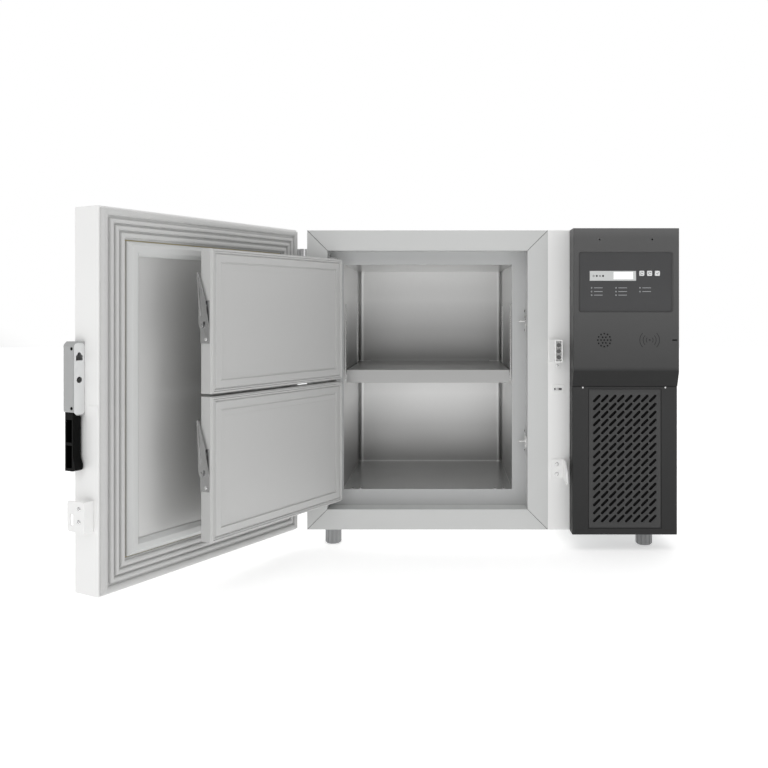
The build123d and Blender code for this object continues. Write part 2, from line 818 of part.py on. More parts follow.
# Handle housing, a casting on the door's free edge
handle_top = handle_base + handle_height
handle_y = (pan_inside - handle_far, pan_inside - handle_near)
handle_x = (door_right, handle_right)
lever_pivot_y = (handle_y[0] + handle_y[1]) / 2
lever_pivot_z = handle_base + lever_pivot_rise
with BuildPart() as handle_housing:
    with BuildSketch(across(door, door_right)):
        span(handle_y, (handle_base, handle_top))
    extrude(amount=handle_out)
    corners = handle_housing.edges().filter_by(Axis(cab.origin, door.y_dir))
    chamfer(corners.sort_by(Axis(cab.origin, door.x_dir))[-2:], handle_bevel)
    outer = handle_housing.faces().sort_by(Axis(cab.origin, door.x_dir))[-1]
    chamfer(outer.edges().filter_by(Axis.Z), handle_wall)
    with BuildSketch(across(door, door_right)):
        span(grown(handle_y, -handle_wall), (handle_base - over, handle_top - handle_bevel - handle_wall))
    extrude(amount=handle_out - handle_wall, mode=Mode.SUBTRACT)
    with BuildSketch(across(door, door_right)):
        span((handle_y[0] - over, lever_pivot_y), (handle_base - over, lever_pivot_z + lever_depth / 2))
    extrude(amount=handle_out - handle_wall, mode=Mode.SUBTRACT)
    with BuildSketch(facing(door, handle_y[1] - handle_wall - over)):
        middle = (door_right + handle_right) / 2
        with Locations((middle, handle_base + mouth_slot_rise)):
            Rectangle(mouth_slot_width, mouth_slot_height)
        with Locations((middle, handle_base + mouth_slot_rise + mouth_slot_height / 2)):
            Circle(mouth_slot_height / 2 - 0.5 * handle_wall)
        with Locations((middle, handle_base + mouth_hole_rise)):
            Circle(mouth_hole_radius)
    extrude(amount=-(handle_wall + 2 * over), mode=Mode.SUBTRACT)
    with BuildSketch(across(door, door_right)):
        with Locations((lever_pivot_y, lever_pivot_z)):
            Circle(lever_axle_radius)
    extrude(amount=handle_out)
save(handle_housing, "handle_housing")

# Handle lever, a ribbed channel that hangs from its axle and curls at its foot
lever_foot = handle_base - lever_drop
lever_x = (handle_right - handle_wall - seam - lever_width, handle_right - handle_wall - seam)
with BuildPart() as handle_lever:
    with BuildSketch(across(door, lever_x[0])):
        with Locations((lever_pivot_y, lever_pivot_z)):
            Circle(lever_depth / 2 - seam)
        span(
            (lever_pivot_y - lever_depth / 2, lever_pivot_y + lever_depth / 2 - lever_wall),
            (lever_foot, lever_pivot_z),
        )
        with BuildLine():
            Polyline(
                (lever_pivot_y + lever_depth / 2 - lever_wall, lever_foot),
                (lever_pivot_y + lever_depth / 2 + lever_wall, lever_foot + lever_wall),
                (lever_pivot_y + lever_depth / 2 + lever_wall, lever_foot + lever_depth / 2),
                (lever_pivot_y + lever_depth / 2 - lever_wall, lever_foot + lever_depth),
                close=True,
            )
        make_face()
        with Locations((lever_pivot_y, lever_pivot_z)):
            Circle(lever_axle_radius + hinge_fit, mode=Mode.SUBTRACT)
    extrude(amount=lever_width)
    with BuildSketch(across(door, lever_x[1])):
        for i in range(2):
            low = lever_foot + lever_wall + i * (lever_window + lever_wall)
            span(
                (lever_pivot_y - lever_depth / 2 + lever_wall, lever_pivot_y + lever_depth / 2 - 2 * lever_wall),
                (low + lever_wall, low + lever_window),
            )
    extrude(amount=-(lever_width - lever_wall), mode=Mode.SUBTRACT)
save(handle_lever, "handle_lever")

# Padlock hasp of the door: a web out from the edge, then a slotted leaf beside it
door_hasp_y = (pan_inside - hasp_far, pan_inside - hasp_near)
with BuildPart() as door_hasp:
    with BuildSketch(facing(door, door_hasp_y[1])):
        span((door_right, hasp_plane), (hasp_low, hasp_high))
    extrude(amount=hasp_sheet)
    with BuildSketch(across(door, hasp_plane - hasp_sheet)):
        span(door_hasp_y, (hasp_low, hasp_high))
    extrude(amount=hasp_sheet)
    tip = door_hasp.edges().filter_by(Axis(cab.origin, door.x_dir))
    fillet(tip.sort_by(Axis(cab.origin, door.y_dir))[:2], hasp_corner)
    hasp_middle = (hasp_low + hasp_high) / 2
    with BuildSketch(across(door, hasp_plane - hasp_sheet)):
        with Locations((door_hasp_y[0] + hasp_slot_from_tip, hasp_middle - hasp_corner)):
            Rectangle(hasp_slot_width, hasp_slot_height)
    extrude(amount=hasp_sheet, mode=Mode.SUBTRACT)
save(door_hasp, "door_hasp")

with BuildPart() as door_switch_pad:
    with BuildSketch(across(door, door_right)):
        span((pan_inside - pad_width, pan_inside), (pad_low, pad_low + pad_height))
    extrude(amount=pad_thick)
save(door_switch_pad, "door_switch_pad")

# Striker: a tapered hood on the post round a catch, with a screw tab below
with BuildPart() as door_striker:
    with BuildSketch(cab.offset(striker_low)):
        with BuildLine():
            Polyline(
                (striker_left, 0), (striker_face_left, -striker_out),
                (striker_right, -striker_out), (striker_right, 0), close=True,
            )
        make_face()
    extrude(amount=striker_high - striker_low)
    with BuildSketch(facing(cab, striker_cavity - striker_out)):
        span(
            (striker_face_left + striker_wall, striker_right - striker_wall),
            (striker_low + striker_wall, striker_high - striker_wall),
        )
    extrude(amount=striker_cavity + over, mode=Mode.SUBTRACT)
    with BuildSketch(facing(cab, striker_cavity - striker_out)):
        middle = (striker_face_left + striker_right) / 2
        with Locations((middle, (striker_low + striker_high) / 2)):
            Circle(striker_stud_radius)
    extrude(amount=striker_cavity - striker_stud_radius)
    with BuildSketch(facing(cab, 0)):
        span((striker_tab_left, striker_right - striker_wall), (striker_low - striker_tab_height, striker_low))
    extrude(amount=striker_wall)
save(door_striker, "door_striker")

with BuildPart() as switch_plate:
    switch_x = (switch_left, switch_left + switch_width)
    switch_z = (switch_low, switch_low + switch_height)
    with BuildSketch(facing(cab, 0)):
        span(switch_x, switch_z)
        middle = ((switch_x[0] + switch_x[1]) / 2, (switch_z[0] + switch_z[1]) / 2)
        with Locations(middle):
            SlotOverall(switch_width * 0.7, switch_height * 0.3, mode=Mode.SUBTRACT)
    extrude(amount=switch_thick)
save(switch_plate, "switch_plate")

# Padlock hasp of the post: a screwed plate with its right edge bent forward and slotted
post_hasp_x = (post_hasp_left, post_hasp_right)
post_hasp_z = (post_hasp_low, post_hasp_high)
with BuildPart() as cabinet_hasp:
    with BuildSketch(facing(cab, 0)):
        span(post_hasp_x, post_hasp_z)
    extrude(amount=hasp_sheet)
    with BuildSketch(across(cab, post_hasp_right - hasp_sheet)):
        with BuildLine():
            Polyline(
                (0, post_hasp_low), (-post_hasp_out + hasp_corner, post_hasp_low - hasp_corner),
                (-post_hasp_out, post_hasp_low), (-post_hasp_out, post_hasp_high - 3 * hasp_corner),
                (-post_hasp_out / 2, post_hasp_high), (0, post_hasp_high), close=True,
            )
        make_face()
        with Locations((-post_hasp_out + hasp_slot_from_tip, (post_hasp_low + post_hasp_high) / 2 - hasp_corner)):
            Rectangle(hasp_slot_width, hasp_slot_height, mode=Mode.SUBTRACT)
    extrude(amount=hasp_sheet)
save(cabinet_hasp, "cabinet_hasp")

# Inner doors, one above the other, each with knuckles for the pins at its hinge side
inner_x = (inner_left, inner_right)
behind = Axis(cab.origin, inner.y_dir)
knuckle_radius = inner_pin_radius + knuckle_wall
inner_core_inset = max(inner_sheet, inner_corner)
lever_start = latch_sheet + latch_boss + seam


def inner_door(low, name):
    z = (low, low + inner_height)
    with BuildPart(inner) as slab:
        block(inner_x, (inner_front, inner_back), z)
        chamfer(slab.edges().filter_by(Axis.Z), inner_corner)
        with BuildSketch(facing(inner, inner_back)):
            span(grown(inner_x, -inner_frame_start), grown(z, -inner_frame_start))
        extrude(amount=-inner_frame_rise)
        crown = slab.faces().sort_by(behind)[-1]
        chamfer(crown.edges(), inner_frame_bevel)
        with BuildSketch(facing(inner, inner_back)):
            inset = inner_frame_start + inner_frame_width
            span(grown(inner_x, -inset), grown(z, -inset))
        extrude(amount=-inner_frame_rise, mode=Mode.SUBTRACT)
        with BuildSketch(facing(inner, inner_back)):
            span(grown(inner_x, -inner_panel_start), grown(z, -inner_panel_start))
        extrude(amount=-inner_panel_rise)
        for middle in (low + knuckle_height / 2, low + inner_height - knuckle_height / 2):
            ends = (middle - knuckle_height / 2, middle + knuckle_height / 2)
            y = grown((inner_pivot_y, inner_pivot_y), knuckle_radius)
            block((inner_pivot_x - knuckle_radius, inner_left), y, ends)
            block((inner_left, inner_left + inner_corner), (inner_front, y[1]), ends)
            with Locations((inner_pivot_x, inner_pivot_y, middle)):
                Cylinder(inner_pin_radius + hinge_fit, knuckle_height, mode=Mode.SUBTRACT)
        block(
            grown(inner_x, -inner_core_inset), (inner_front + inner_sheet, inner_back - inner_sheet),
            grown(z, -inner_sheet), mode=Mode.SUBTRACT,
        )
    save(slab, name)


def inner_core(low, name):
    z = (low, low + inner_height)
    with BuildPart(inner) as core:
        block(
            grown(inner_x, -inner_core_inset), (inner_front + inner_sheet, inner_back - inner_sheet),
            grown(z, -inner_sheet),
        )
    save(core, name)


def inner_seal(low, name):
    z = (low, low + inner_height)
    with BuildPart() as seal:
        with BuildSketch(facing(inner, inner_back)):
            span(grown(inner_x, -inner_seal_widths[0]), grown(z, -inner_seal_widths[0]))
            inset = sum(inner_seal_widths)
            span(grown(inner_x, -inset), grown(z, -inset), mode=Mode.SUBTRACT)
        extrude(amount=-inner_gasket)
        crown = seal.faces().sort_by(behind)[-1]
        chamfer(crown.edges(), inner_gasket / 3)
    save(seal, name)


def latch_plate(low, name):
    y = (inner_front + latch_near, inner_front + latch_far)
    z = (low + latch_base_low, low + latch_base_high)
    pivot = (inner_front + latch_pivot_back, low + latch_pivot_rise)
    with BuildPart() as plate:
        with BuildSketch(across(inner, inner_right)):
            span(y, z)
        extrude(amount=latch_sheet)
        for start in (latch_sheet, lever_start + latch_wall + seam):
            with BuildSketch(across(inner, inner_right + start)):
                with Locations(pivot):
                    RegularPolygon(latch_pin_head, latch_head_sides)
            extrude(amount=latch_boss)
        with BuildSketch(across(inner, inner_right + latch_sheet)):
            with Locations(pivot):
                Circle(latch_pin_radius)
        extrude(amount=latch_boss + latch_wall + 2 * seam)
    save(plate, name)


def around(radius, degrees):
    return (radius * cos(radians(degrees)), radius * sin(radians(degrees)))


def latch_lever(low, name):
    pivot = (inner_front + latch_pivot_back, low + latch_pivot_rise)
    outline = [
        (-latch_hub, 0),
        (-latch_middle_near, latch_middle_rise),
        (-latch_tip_near, latch_length),
        (latch_tip_far, latch_length),
        (latch_middle_far, latch_middle_rise),
        around(latch_hook_outer, latch_hook_high),
        around(latch_hook_outer, latch_hook_low),
        around(latch_hook_inner, latch_hook_low),
        around(latch_hook_inner, latch_hook_high),
        (latch_hub, latch_notch),
        (latch_hub, 0),
    ]
    with BuildPart() as lever:
        with BuildSketch(across(inner, inner_right + lever_start)):
            with Locations(pivot):
                Polygon(*outline, align=None)
                Circle(latch_hub)
                Circle(latch_pin_radius + hinge_fit, mode=Mode.SUBTRACT)
        extrude(amount=latch_wall)
    save(lever, name)


for low, name in zip(inner_low, ("lower_inner", "upper_inner")):
    inner_door(low, name + "_door")
    inner_core(low, name + "_foam")
    inner_seal(low, name + "_gasket")
    latch_plate(low, name + "_latch_plate")
    latch_lever(low, name + "_latch_lever")

# Hinge brackets of the inner doors, on the left wall of the recess
bracket_levels = [inner_low[0] - inner_gap / 2 + i * (inner_height + inner_gap) for i in range(3)]
with BuildPart(cab) as inner_hinges:
    for i, level in enumerate(bracket_levels):
        z = grown((level, level), inner_gap / 2 - seam)
        block(
            (mouth_left, inner_pivot_x + bracket_reach),
            (inner_pivot_y - bracket_reach, recess_depth), z,
        )
        block(
            (mouth_left, mouth_left + bracket_wall), (inner_pivot_y, recess_depth),
            (level - bracket_height / 2, level + bracket_height / 2),
        )
        low = level - (inner_pin_reach if i > 0 else bracket_wall)
        high = level + (inner_pin_reach if i < 2 else bracket_wall)
        with Locations((inner_pivot_x, inner_pivot_y, (low + high) / 2)):
            Cylinder(inner_pin_radius, high - low)
save(inner_hinges, "inner_hinges")

# Strikes of the inner doors' latches, on the right wall of the recess
pin_y, pin_rise = around(strike_reach, strike_turn)
with BuildPart() as inner_strikes:
    for low in inner_low:
        place = (inner_front + latch_pivot_back + pin_y, low + latch_pivot_rise + pin_rise)
        with BuildSketch(across(cab, mouth_right - strike_wall)):
            with Locations(place):
                Rectangle(strike_plate, strike_plate)
        extrude(amount=strike_wall)
        with BuildSketch(across(cab, inner_right + latch_sheet + strike_fit)):
            with Locations(place):
                Circle(strike_pin_radius)
        extrude(amount=mouth_right - strike_wall - inner_right - latch_sheet - strike_fit)
save(inner_strikes, "inner_strikes")

# Control housing: a moulded hood that slants back at its foot
bay_x = (bay_left, bay_right)
hood_front = -hood_out
wall_back = hood_front + display_sink + moulding
display_x = (display_left, display_right)
display_z = (display_low, display_high)
window_x = (window_left, window_right)
window_z = (window_low, window_high)
floor_front = hood_front + display_sink
board_front = wall_back + board_gap
sound_place = (speaker_x, sound_level)
key_x = [key_first + i * key_pitch for i in range(3)]
rosette = [(0, 1)] + [(sound_ring * i, 6 * i) for i in range(1, sound_rings + 1)]
post_x = grown((board_left, board_right), -board_post_inset)
post_z = grown((board_low, board_high), -board_post_inset)
with BuildPart() as control_housing:
    with BuildSketch(across(cab, bay_left)):
        with BuildLine():
            Polyline(
                (0, case_top), (hood_front, case_top), (hood_front, hood_nose),
                (-fascia_out, hood_low), (0, hood_low), close=True,
            )
        make_face()
    extrude(amount=bay_right - bay_left)
    fillet(control_housing.faces().sort_by(Axis.Y)[0].edges(), hood_fillet)
    with BuildSketch(across(cab, bay_left + moulding)):
        with BuildLine():
            Polyline(
                (over, case_top - moulding), (hood_front + moulding, case_top - moulding),
                (hood_front + moulding, hood_nose), (-fascia_out + moulding, hood_low + moulding),
                (over, hood_low + moulding), close=True,
            )
        make_face()
    extrude(amount=bay_right - bay_left - 2 * moulding, mode=Mode.SUBTRACT)
    with BuildSketch(facing(cab, wall_back)):
        span(grown(display_x, moulding), grown(display_z, moulding))
    extrude(amount=wall_back - hood_front - moulding / 2)
    with BuildSketch(facing(cab, floor_front)):
        inset = -display_slope
        span(grown(display_x, inset), grown(display_z, inset), corner=display_corner - display_slope)
    with BuildSketch(facing(cab, hood_front)):
        span(display_x, display_z, corner=display_corner)
    loft(mode=Mode.SUBTRACT)
    with BuildSketch(facing(cab, wall_back + over)):
        span(window_x, window_z)
        with Locations(*[(x, key_level) for x in key_x]):
            Rectangle(key_size + 2 * key_fit, key_size + 2 * key_fit)
    extrude(amount=wall_back - hood_front + 2 * over, mode=Mode.SUBTRACT)
    with BuildSketch(facing(cab, hood_front + moulding + over)):
        with Locations(sound_place):
            for ring, count in rosette:
                with PolarLocations(ring, count):
                    RegularPolygon(sound_hole_radius, small_hole_sides)
        with Locations((card_slot_left + card_slot_width / 2, sound_level)):
            Rectangle(card_slot_width, card_slot_height)
        with Locations(*[(x, vent_hole_level) for x in vent_hole_x]):
            RegularPolygon(vent_hole_radius, small_hole_sides)
    extrude(amount=moulding + 2 * over, mode=Mode.SUBTRACT)
    with BuildSketch(facing(cab, board_front)):
        with Locations(*[(x, z) for x in post_x for z in post_z]):
            Rectangle(board_post_width, board_post_width)
    extrude(amount=board_gap)
save(control_housing, "control_housing")

# Display panel, screen and keys
panel_inset = display_slope + overlay_gap
with BuildPart() as display_panel:
    with BuildSketch(facing(cab, floor_front)):
        span(
            grown(display_x, -panel_inset), grown(display_z, -panel_inset),
            corner=display_corner - display_slope,
        )
        span(window_x, window_z, mode=Mode.SUBTRACT)
        with Locations(*[(x, key_level) for x in key_x]):
            Rectangle(key_size + 2 * key_fit, key_size + 2 * key_fit, mode=Mode.SUBTRACT)
    extrude(amount=overlay_sheet)
save(display_panel, "display_panel")

with BuildPart() as display_screen:
    with BuildSketch(facing(cab, board_front)):
        span(grown(window_x, -seam), grown(window_z, -seam))
    extrude(amount=board_front - floor_front + overlay_sheet - screen_sink)
save(display_screen, "display_screen")

flange_front = wall_back + key_fit
stem_end = board_front - contact_height - key_travel - key_fit
for name, x in zip(("key_left", "key_middle", "key_right"), key_x):
    with BuildPart() as key:
        with BuildSketch(facing(cab, flange_front)):
            with Locations((x, key_level)):
                Rectangle(key_size, key_size)
        extrude(amount=flange_front - floor_front + overlay_sheet + key_proud)
        chamfer(key.edges().filter_by(Axis.Y), key_corner / 2)
        chamfer(key.faces().sort_by(Axis.Y)[0].edges(), key_proud / 2)
        with BuildSketch(facing(cab, flange_front + key_flange_wall)):
            with Locations((x, key_level)):
                Rectangle(key_size + 2 * key_flange, key_size + 2 * key_flange)
        extrude(amount=key_flange_wall)
        with BuildSketch(facing(cab, stem_end)):
            with Locations((x, key_level)):
                Rectangle(stem_width, stem_width)
        extrude(amount=stem_end - flange_front - key_flange_wall)
    save(key, name)

# Control board on the housing's posts, with the key contacts, a relay and two connectors,
# and the card reader on the inside of the housing
with BuildPart(cab) as control_board:
    block((board_left, board_right), (board_front, board_front + board_sheet), (board_low, board_high))
    for x in key_x:
        block(
            grown((x, x), contact_size / 2), (board_front - contact_height, board_front),
            grown((key_level, key_level), contact_size / 2),
        )
    for i in range(3):
        x = board_left + (i + 1) * (board_right - board_left) / 4
        z = (board_low + board_post_inset, board_low + board_post_inset + reader_depth * (2 + i))
        block(
            grown((x, x), reader_depth), (board_front + board_sheet, board_front + board_sheet + reader_depth), z
        )
    block(
        grown((reader_x, reader_x), reader_size / 2),
        (hood_front + moulding, hood_front + moulding + reader_depth),
        grown((sound_level, sound_level), reader_size / 2),
    )
save(control_board, "control_board")

with BuildPart() as speaker:
    with BuildSketch(facing(cab, hood_front + moulding)):
        with Locations(sound_place):
            Circle(speaker_radius)
    extrude(amount=-speaker_depth)
save(speaker, "speaker")

# Lower fascia with the opening and the ledge for the grille
grille_x = (grille_left, grille_right)
grille_z = (grille_low, grille_high)
fascia_front = -fascia_out
grille_front = fascia_front + grille_sink
grille_back = grille_front + grille_wall
fascia_z = (fascia_low, hood_low)
with BuildPart(cab) as lower_fascia:
    block(bay_x, (fascia_front, 0), fascia_z)
    fillet(lower_fascia.faces().sort_by(Axis.Y)[0].edges(), hood_fillet)
    block(
        grown(bay_x, -moulding), (fascia_front + moulding, over), grown(fascia_z, -moulding),
        mode=Mode.SUBTRACT,
    )
    block(
        grown(grille_x, moulding), (fascia_front + moulding, grille_back + ledge_wall),
        grown(grille_z, moulding),
    )
    block(grille_x, (fascia_front - over, grille_back), grille_z, mode=Mode.SUBTRACT)
    block(
        grown(grille_x, -grille_ledge), (grille_front, grille_back + over),
        grown(grille_z, -grille_ledge), mode=Mode.SUBTRACT,
    )
save(lower_fascia, "lower_fascia")

# Intake grille with rows of slanted slots
with BuildPart() as intake_grille:
    with BuildSketch(facing(cab, grille_back)):
        span(grown(grille_x, -grille_fit), grown(grille_z, -grille_fit))
        with Locations(((grille_left + grille_right) / 2, (grille_low + grille_high) / 2)):
            with GridLocations(grille_pitch, grille_pitch, grille_columns, grille_rows):
                Rectangle(grille_slot_length, grille_slot_width, rotation=45, mode=Mode.SUBTRACT)
    extrude(amount=grille_wall)
save(intake_grille, "intake_grille")

# Air filter on the back of the grille: a frame round a thin pad
filter_x = grown(grille_x, -grille_ledge - filter_gap)
filter_z = grown(grille_z, -grille_ledge - filter_gap)
with BuildPart(cab) as air_filter:
    block(filter_x, (grille_back, grille_back + filter_depth), filter_z)
    for y in ((grille_back - over, grille_back + (filter_depth - filter_pad) / 2),
              (grille_back + (filter_depth + filter_pad) / 2, grille_back + filter_depth + over)):
        block(grown(filter_x, -filter_frame), y, grown(filter_z, -filter_frame), mode=Mode.SUBTRACT)
save(air_filter, "air_filter")

# Machine bay: base pan, top and side cover, and the louvred rear cover
pan_x = (bay_left, bay_right - sheet)
pan_top = case_bottom + sheet
bay_back = case_depth - sheet
with BuildPart(cab) as base_pan:
    block(pan_x, (0, bay_back), (case_bottom, case_bottom + pan_flange))
    block(grown(pan_x, -sheet), (sheet, bay_back - sheet), (pan_top, case_bottom + pan_flange + over), mode=Mode.SUBTRACT)
    for x, y in foot_right:
        with Locations((x, y, case_bottom + socket_height / 2)):
            Box(socket_width, socket_width, socket_height)
            Cylinder(foot_stud_radius + foot_fit, socket_height + over, mode=Mode.SUBTRACT)
save(base_pan, "base_pan")

with BuildPart(cab) as machine_cover:
    block(bay_x, (0, case_depth), case_z)
    block(
        (bay_left - over, bay_right - sheet), (-over, case_depth + over),
        (case_bottom - over, case_top - sheet), mode=Mode.SUBTRACT,
    )
save(machine_cover, "machine_cover")

rear_x = (bay_left, bay_right - sheet)
rear_z = (pan_top, case_top - sheet)
rear_middle = (rear_x[0] + rear_x[1]) / 2
with BuildPart() as rear_cover:
    with BuildSketch(facing(cab, case_depth)):
        span(rear_x, rear_z)
        with Locations((inlet_x, inlet_level)):
            Rectangle(inlet_width + 2 * seam, inlet_height + 2 * seam, mode=Mode.SUBTRACT)
    extrude(amount=sheet)
    louvre_z = [louvre_level + i * louvre_pitch for i in range(louvre_rows)]
    louvre_x = (rear_middle - louvre_width / 2 - louvre_height, rear_middle + louvre_width / 2 + louvre_height)
    for x in louvre_x:
        with BuildSketch(facing(cab, case_depth)):
            with Locations(*[(x, z) for z in louvre_z]):
                Rectangle(louvre_width, louvre_height)
        extrude(amount=sheet, mode=Mode.SUBTRACT)
        with BuildSketch(across(cab, x - louvre_width / 2)):
            for z in louvre_z:
                with Locations((case_depth, z)):
                    Polygon(
                        (-sheet, louvre_height / 2 + sheet), (0, louvre_height / 2 + sheet),
                        (louvre_hood, -louvre_height / 2), (louvre_hood - sheet, -louvre_height / 2),
                        (-sheet, louvre_height / 2), align=None,
                    )
        extrude(amount=louvre_width)
save(rear_cover, "rear_cover")

# Condenser on the base pan, its fan shroud with the motor, and the fan
condenser_x = (condenser_left, condenser_right)
condenser_z = (condenser_low, condenser_high)
condenser_y = (condenser_front, condenser_front + condenser_depth)
row_pitch = (condenser_high - condenser_low) / (return_bends + 1)
with BuildPart(cab) as condenser:
    block(grown(condenser_x, -condenser_plate), condenser_y, condenser_z)
    groove_pitch = (condenser_right - condenser_left) / (fin_grooves + 1)
    for i in range(fin_grooves):
        x = condenser_left + (i + 1) * groove_pitch
        block(
            grown((x, x), fin_groove_width / 2), (condenser_front - over, condenser_front + fin_groove_depth),
            grown(condenser_z, -fin_groove_depth), mode=Mode.SUBTRACT,
        )
    for x in (condenser_left, condenser_right - condenser_plate):
        block((x, x + condenser_plate), condenser_y, (pan_top, condenser_high))
    for side in condenser_x:
        for i in range(return_bends):
            z = condenser_low + (i + 1) * row_pitch
            y = (condenser_y[0] + condenser_y[1]) / 2
            with BuildSketch(across(cab, side)):
                with Locations((y, z + return_bend)):
                    Circle(tube_radius)
            revolve(
                axis=Axis(cab.from_local_coords(Vector(side, y, z)), cab.y_dir),
                revolution_arc=180 if side == condenser_x[0] else -180,
            )
save(condenser, "condenser")

fan_place = ((condenser_left + condenser_right) / 2, (condenser_low + condenser_high) / 2)
shroud_y = (condenser_y[1], condenser_y[1] + shroud_depth)
motor_front = shroud_y[1] + spider_wall
with BuildPart(cab) as fan_shroud:
    block(condenser_x, shroud_y, condenser_z)
    block(
        grown(condenser_x, -shroud_wall), (shroud_y[0] - over, shroud_y[1] - shroud_wall),
        grown(condenser_z, -shroud_wall), mode=Mode.SUBTRACT,
    )
    with BuildSketch(facing(cab, shroud_y[1] + over)):
        with Locations(fan_place):
            Circle(fan_radius + fan_gap)
    extrude(amount=shroud_wall + 2 * over, mode=Mode.SUBTRACT)
    with BuildSketch(facing(cab, motor_front)):
        with Locations(fan_place):
            with PolarLocations((fan_radius + fan_gap + spider_width) / 2, spider_arms):
                Rectangle(fan_radius + fan_gap + spider_width, spider_width)
            Circle(motor_radius)
    extrude(amount=spider_wall)
    with BuildSketch(facing(cab, motor_front)):
        with Locations(fan_place):
            Circle(motor_radius)
    extrude(amount=-motor_depth)
    with BuildSketch(facing(cab, shroud_y[1])):
        with Locations(fan_place):
            Circle(fan_shaft_radius)
    extrude(amount=fan_gap + fan_hub_depth / 2 - seam)
save(fan_shroud, "fan_shroud")

fan_back = shroud_y[1] - fan_gap
fan_middle = fan_back - fan_hub_depth / 2
fan_centre = cab.from_local_coords(Vector(fan_place[0], fan_middle, fan_place[1]))
tilt = radians(fan_blade_pitch)
with BuildPart() as fan_blade:
    for i in range(fan_blades):
        angle = radians(i * 360 / fan_blades)
        outward = Vector(cos(angle), 0, sin(angle))
        chord = Vector(-sin(angle) * cos(tilt), sin(tilt), cos(angle) * cos(tilt))
        with BuildSketch(Plane(origin=fan_centre, x_dir=chord, z_dir=outward)):
            with BuildLine():
                ends = ((-fan_blade_chord / 2, 0), (fan_blade_chord / 2, 0))
                ThreePointArc(ends[0], (0, fan_blade_camber), ends[1])
                ThreePointArc(ends[0], (0, fan_blade_camber - fan_blade_wall), ends[1])
            make_face()
        extrude(amount=fan_radius - fan_gap)
    with BuildSketch(facing(cab, fan_middle)):
        with Locations(fan_place):
            Circle(fan_hub_radius)
    extrude(amount=fan_hub_depth / 2, both=True)
    with BuildSketch(facing(cab, fan_middle)):
        with Locations(fan_place):
            Circle(fan_shaft_radius + hinge_fit)
    extrude(amount=-fan_hub_depth / 2 - over, mode=Mode.SUBTRACT)
save(fan_blade, "fan_blade")

# Two hermetic compressors, each on its plate and four rubber mounts
compressor_x = (bay_left + bay_right) / 2
motor_back = motor_front + motor_depth
compressor_gap = (bay_back - inlet_depth - motor_back - 2 * compressor_plate) / 3
compressor_y = (
    motor_back + compressor_gap + compressor_plate / 2,
    motor_back + 2 * compressor_gap + 1.5 * compressor_plate,
)
plate_z = (pan_top + mount_height, pan_top + mount_height + compressor_plate_wall)
compressor_top = plate_z[1] + compressor_height
stub_x = compressor_x + stub_offset
seam_level = plate_z[1] + compressor_height / 2
can_outline = [
    (0, plate_z[1]), (compressor_radius, plate_z[1]),
    (compressor_radius, seam_level - compressor_seam / 2),
    (compressor_radius + compressor_seam, seam_level - compressor_seam / 2),
    (compressor_radius + compressor_seam, seam_level + compressor_seam / 2),
    (compressor_radius, seam_level + compressor_seam / 2),
    (compressor_radius, compressor_top - compressor_dome),
]
can_outline += [
    (compressor_radius * out, compressor_top - compressor_dome * down)
    for out, down in compressor_crown_shares
]
can_outline.append((0, compressor_top))
with BuildPart(cab) as compressors:
    for y in compressor_y:
        with BuildSketch(across(cab, compressor_x)):
            with BuildLine():
                Polyline(*[(y + out, z) for out, z in can_outline], close=True)
            make_face()
        revolve(axis=Axis(cab.from_local_coords(Vector(compressor_x, y, 0)), cab.z_dir))
        half = compressor_plate / 2
        block((compressor_x - half, compressor_x + half), (y - half, y + half), plate_z)
        block(
            grown((stub_x, stub_x), stub_width / 2), grown((y, y), stub_width / 2),
            (compressor_top - compressor_dome, compressor_top + stub_height),
        )
save(compressors, "compressors")
stub_top = compressor_top + stub_height

with BuildPart(cab) as compressor_mounts:
    for y in compressor_y:
        with Locations((compressor_x, y, pan_top + mount_height / 2)):
            with GridLocations(mount_pitch, mount_pitch, 2, 2):
                Box(mount_width, mount_width, mount_height)
save(compressor_mounts, "compressor_mounts")

# Interstage heat exchanger, strapped to the side cover
exchanger_top = exchanger_low + exchanger_height
with BuildPart(cab) as heat_exchanger:
    with Locations((exchanger_x, exchanger_y, (exchanger_low + exchanger_top) / 2)):
        Cylinder(exchanger_radius, exchanger_height)
    for z in (exchanger_low + strap_height, exchanger_top - strap_height):
        block(
            (exchanger_x, bay_right - sheet), grown((exchanger_y, exchanger_y), strap_wall / 2),
            grown((z, z), strap_height / 2),
        )
save(heat_exchanger, "heat_exchanger")

# Refrigerant lines, straight runs joined by bends, with the filter drier on the liquid line
condenser_middle = (condenser_y[0] + condenser_y[1]) / 2
over_condenser = condenser_high + pipe_rise
over_exchanger = exchanger_top + pipe_loop
under_exchanger = exchanger_low - pipe_loop
coil_exit_y = coil_front + coil_height / 2
runs = [
    [
        (stub_x, compressor_y[0], stub_top), (stub_x, compressor_y[0], over_condenser),
        (stub_x, condenser_middle, over_condenser), (stub_x, condenser_middle, condenser_high),
    ],
    [
        (liquid_line_x, condenser_middle, condenser_high), (liquid_line_x, condenser_middle, over_exchanger),
        (exchanger_x - pipe_spread, exchanger_y, over_exchanger), (exchanger_x - pipe_spread, exchanger_y, exchanger_top),
    ],
    [
        (stub_x, compressor_y[1], stub_top), (stub_x, compressor_y[1], under_exchanger),
        (exchanger_x, exchanger_y, under_exchanger), (exchanger_x, exchanger_y, exchanger_low),
    ],
    [
        (case_width, coil_exit_y, coil_top), (exchanger_x + pipe_spread, coil_exit_y, coil_top),
        (exchanger_x + pipe_spread, exchanger_y, coil_top), (exchanger_x + pipe_spread, exchanger_y, exchanger_top),
    ],
]
drier_ends = [cab.from_local_coords(Vector(*runs[1][i])) for i in (1, 2)]
drier_way = (drier_ends[1] - drier_ends[0]).normalized()
drier_start = (drier_ends[0] + drier_ends[1]) / 2 - drier_way * drier_length / 2
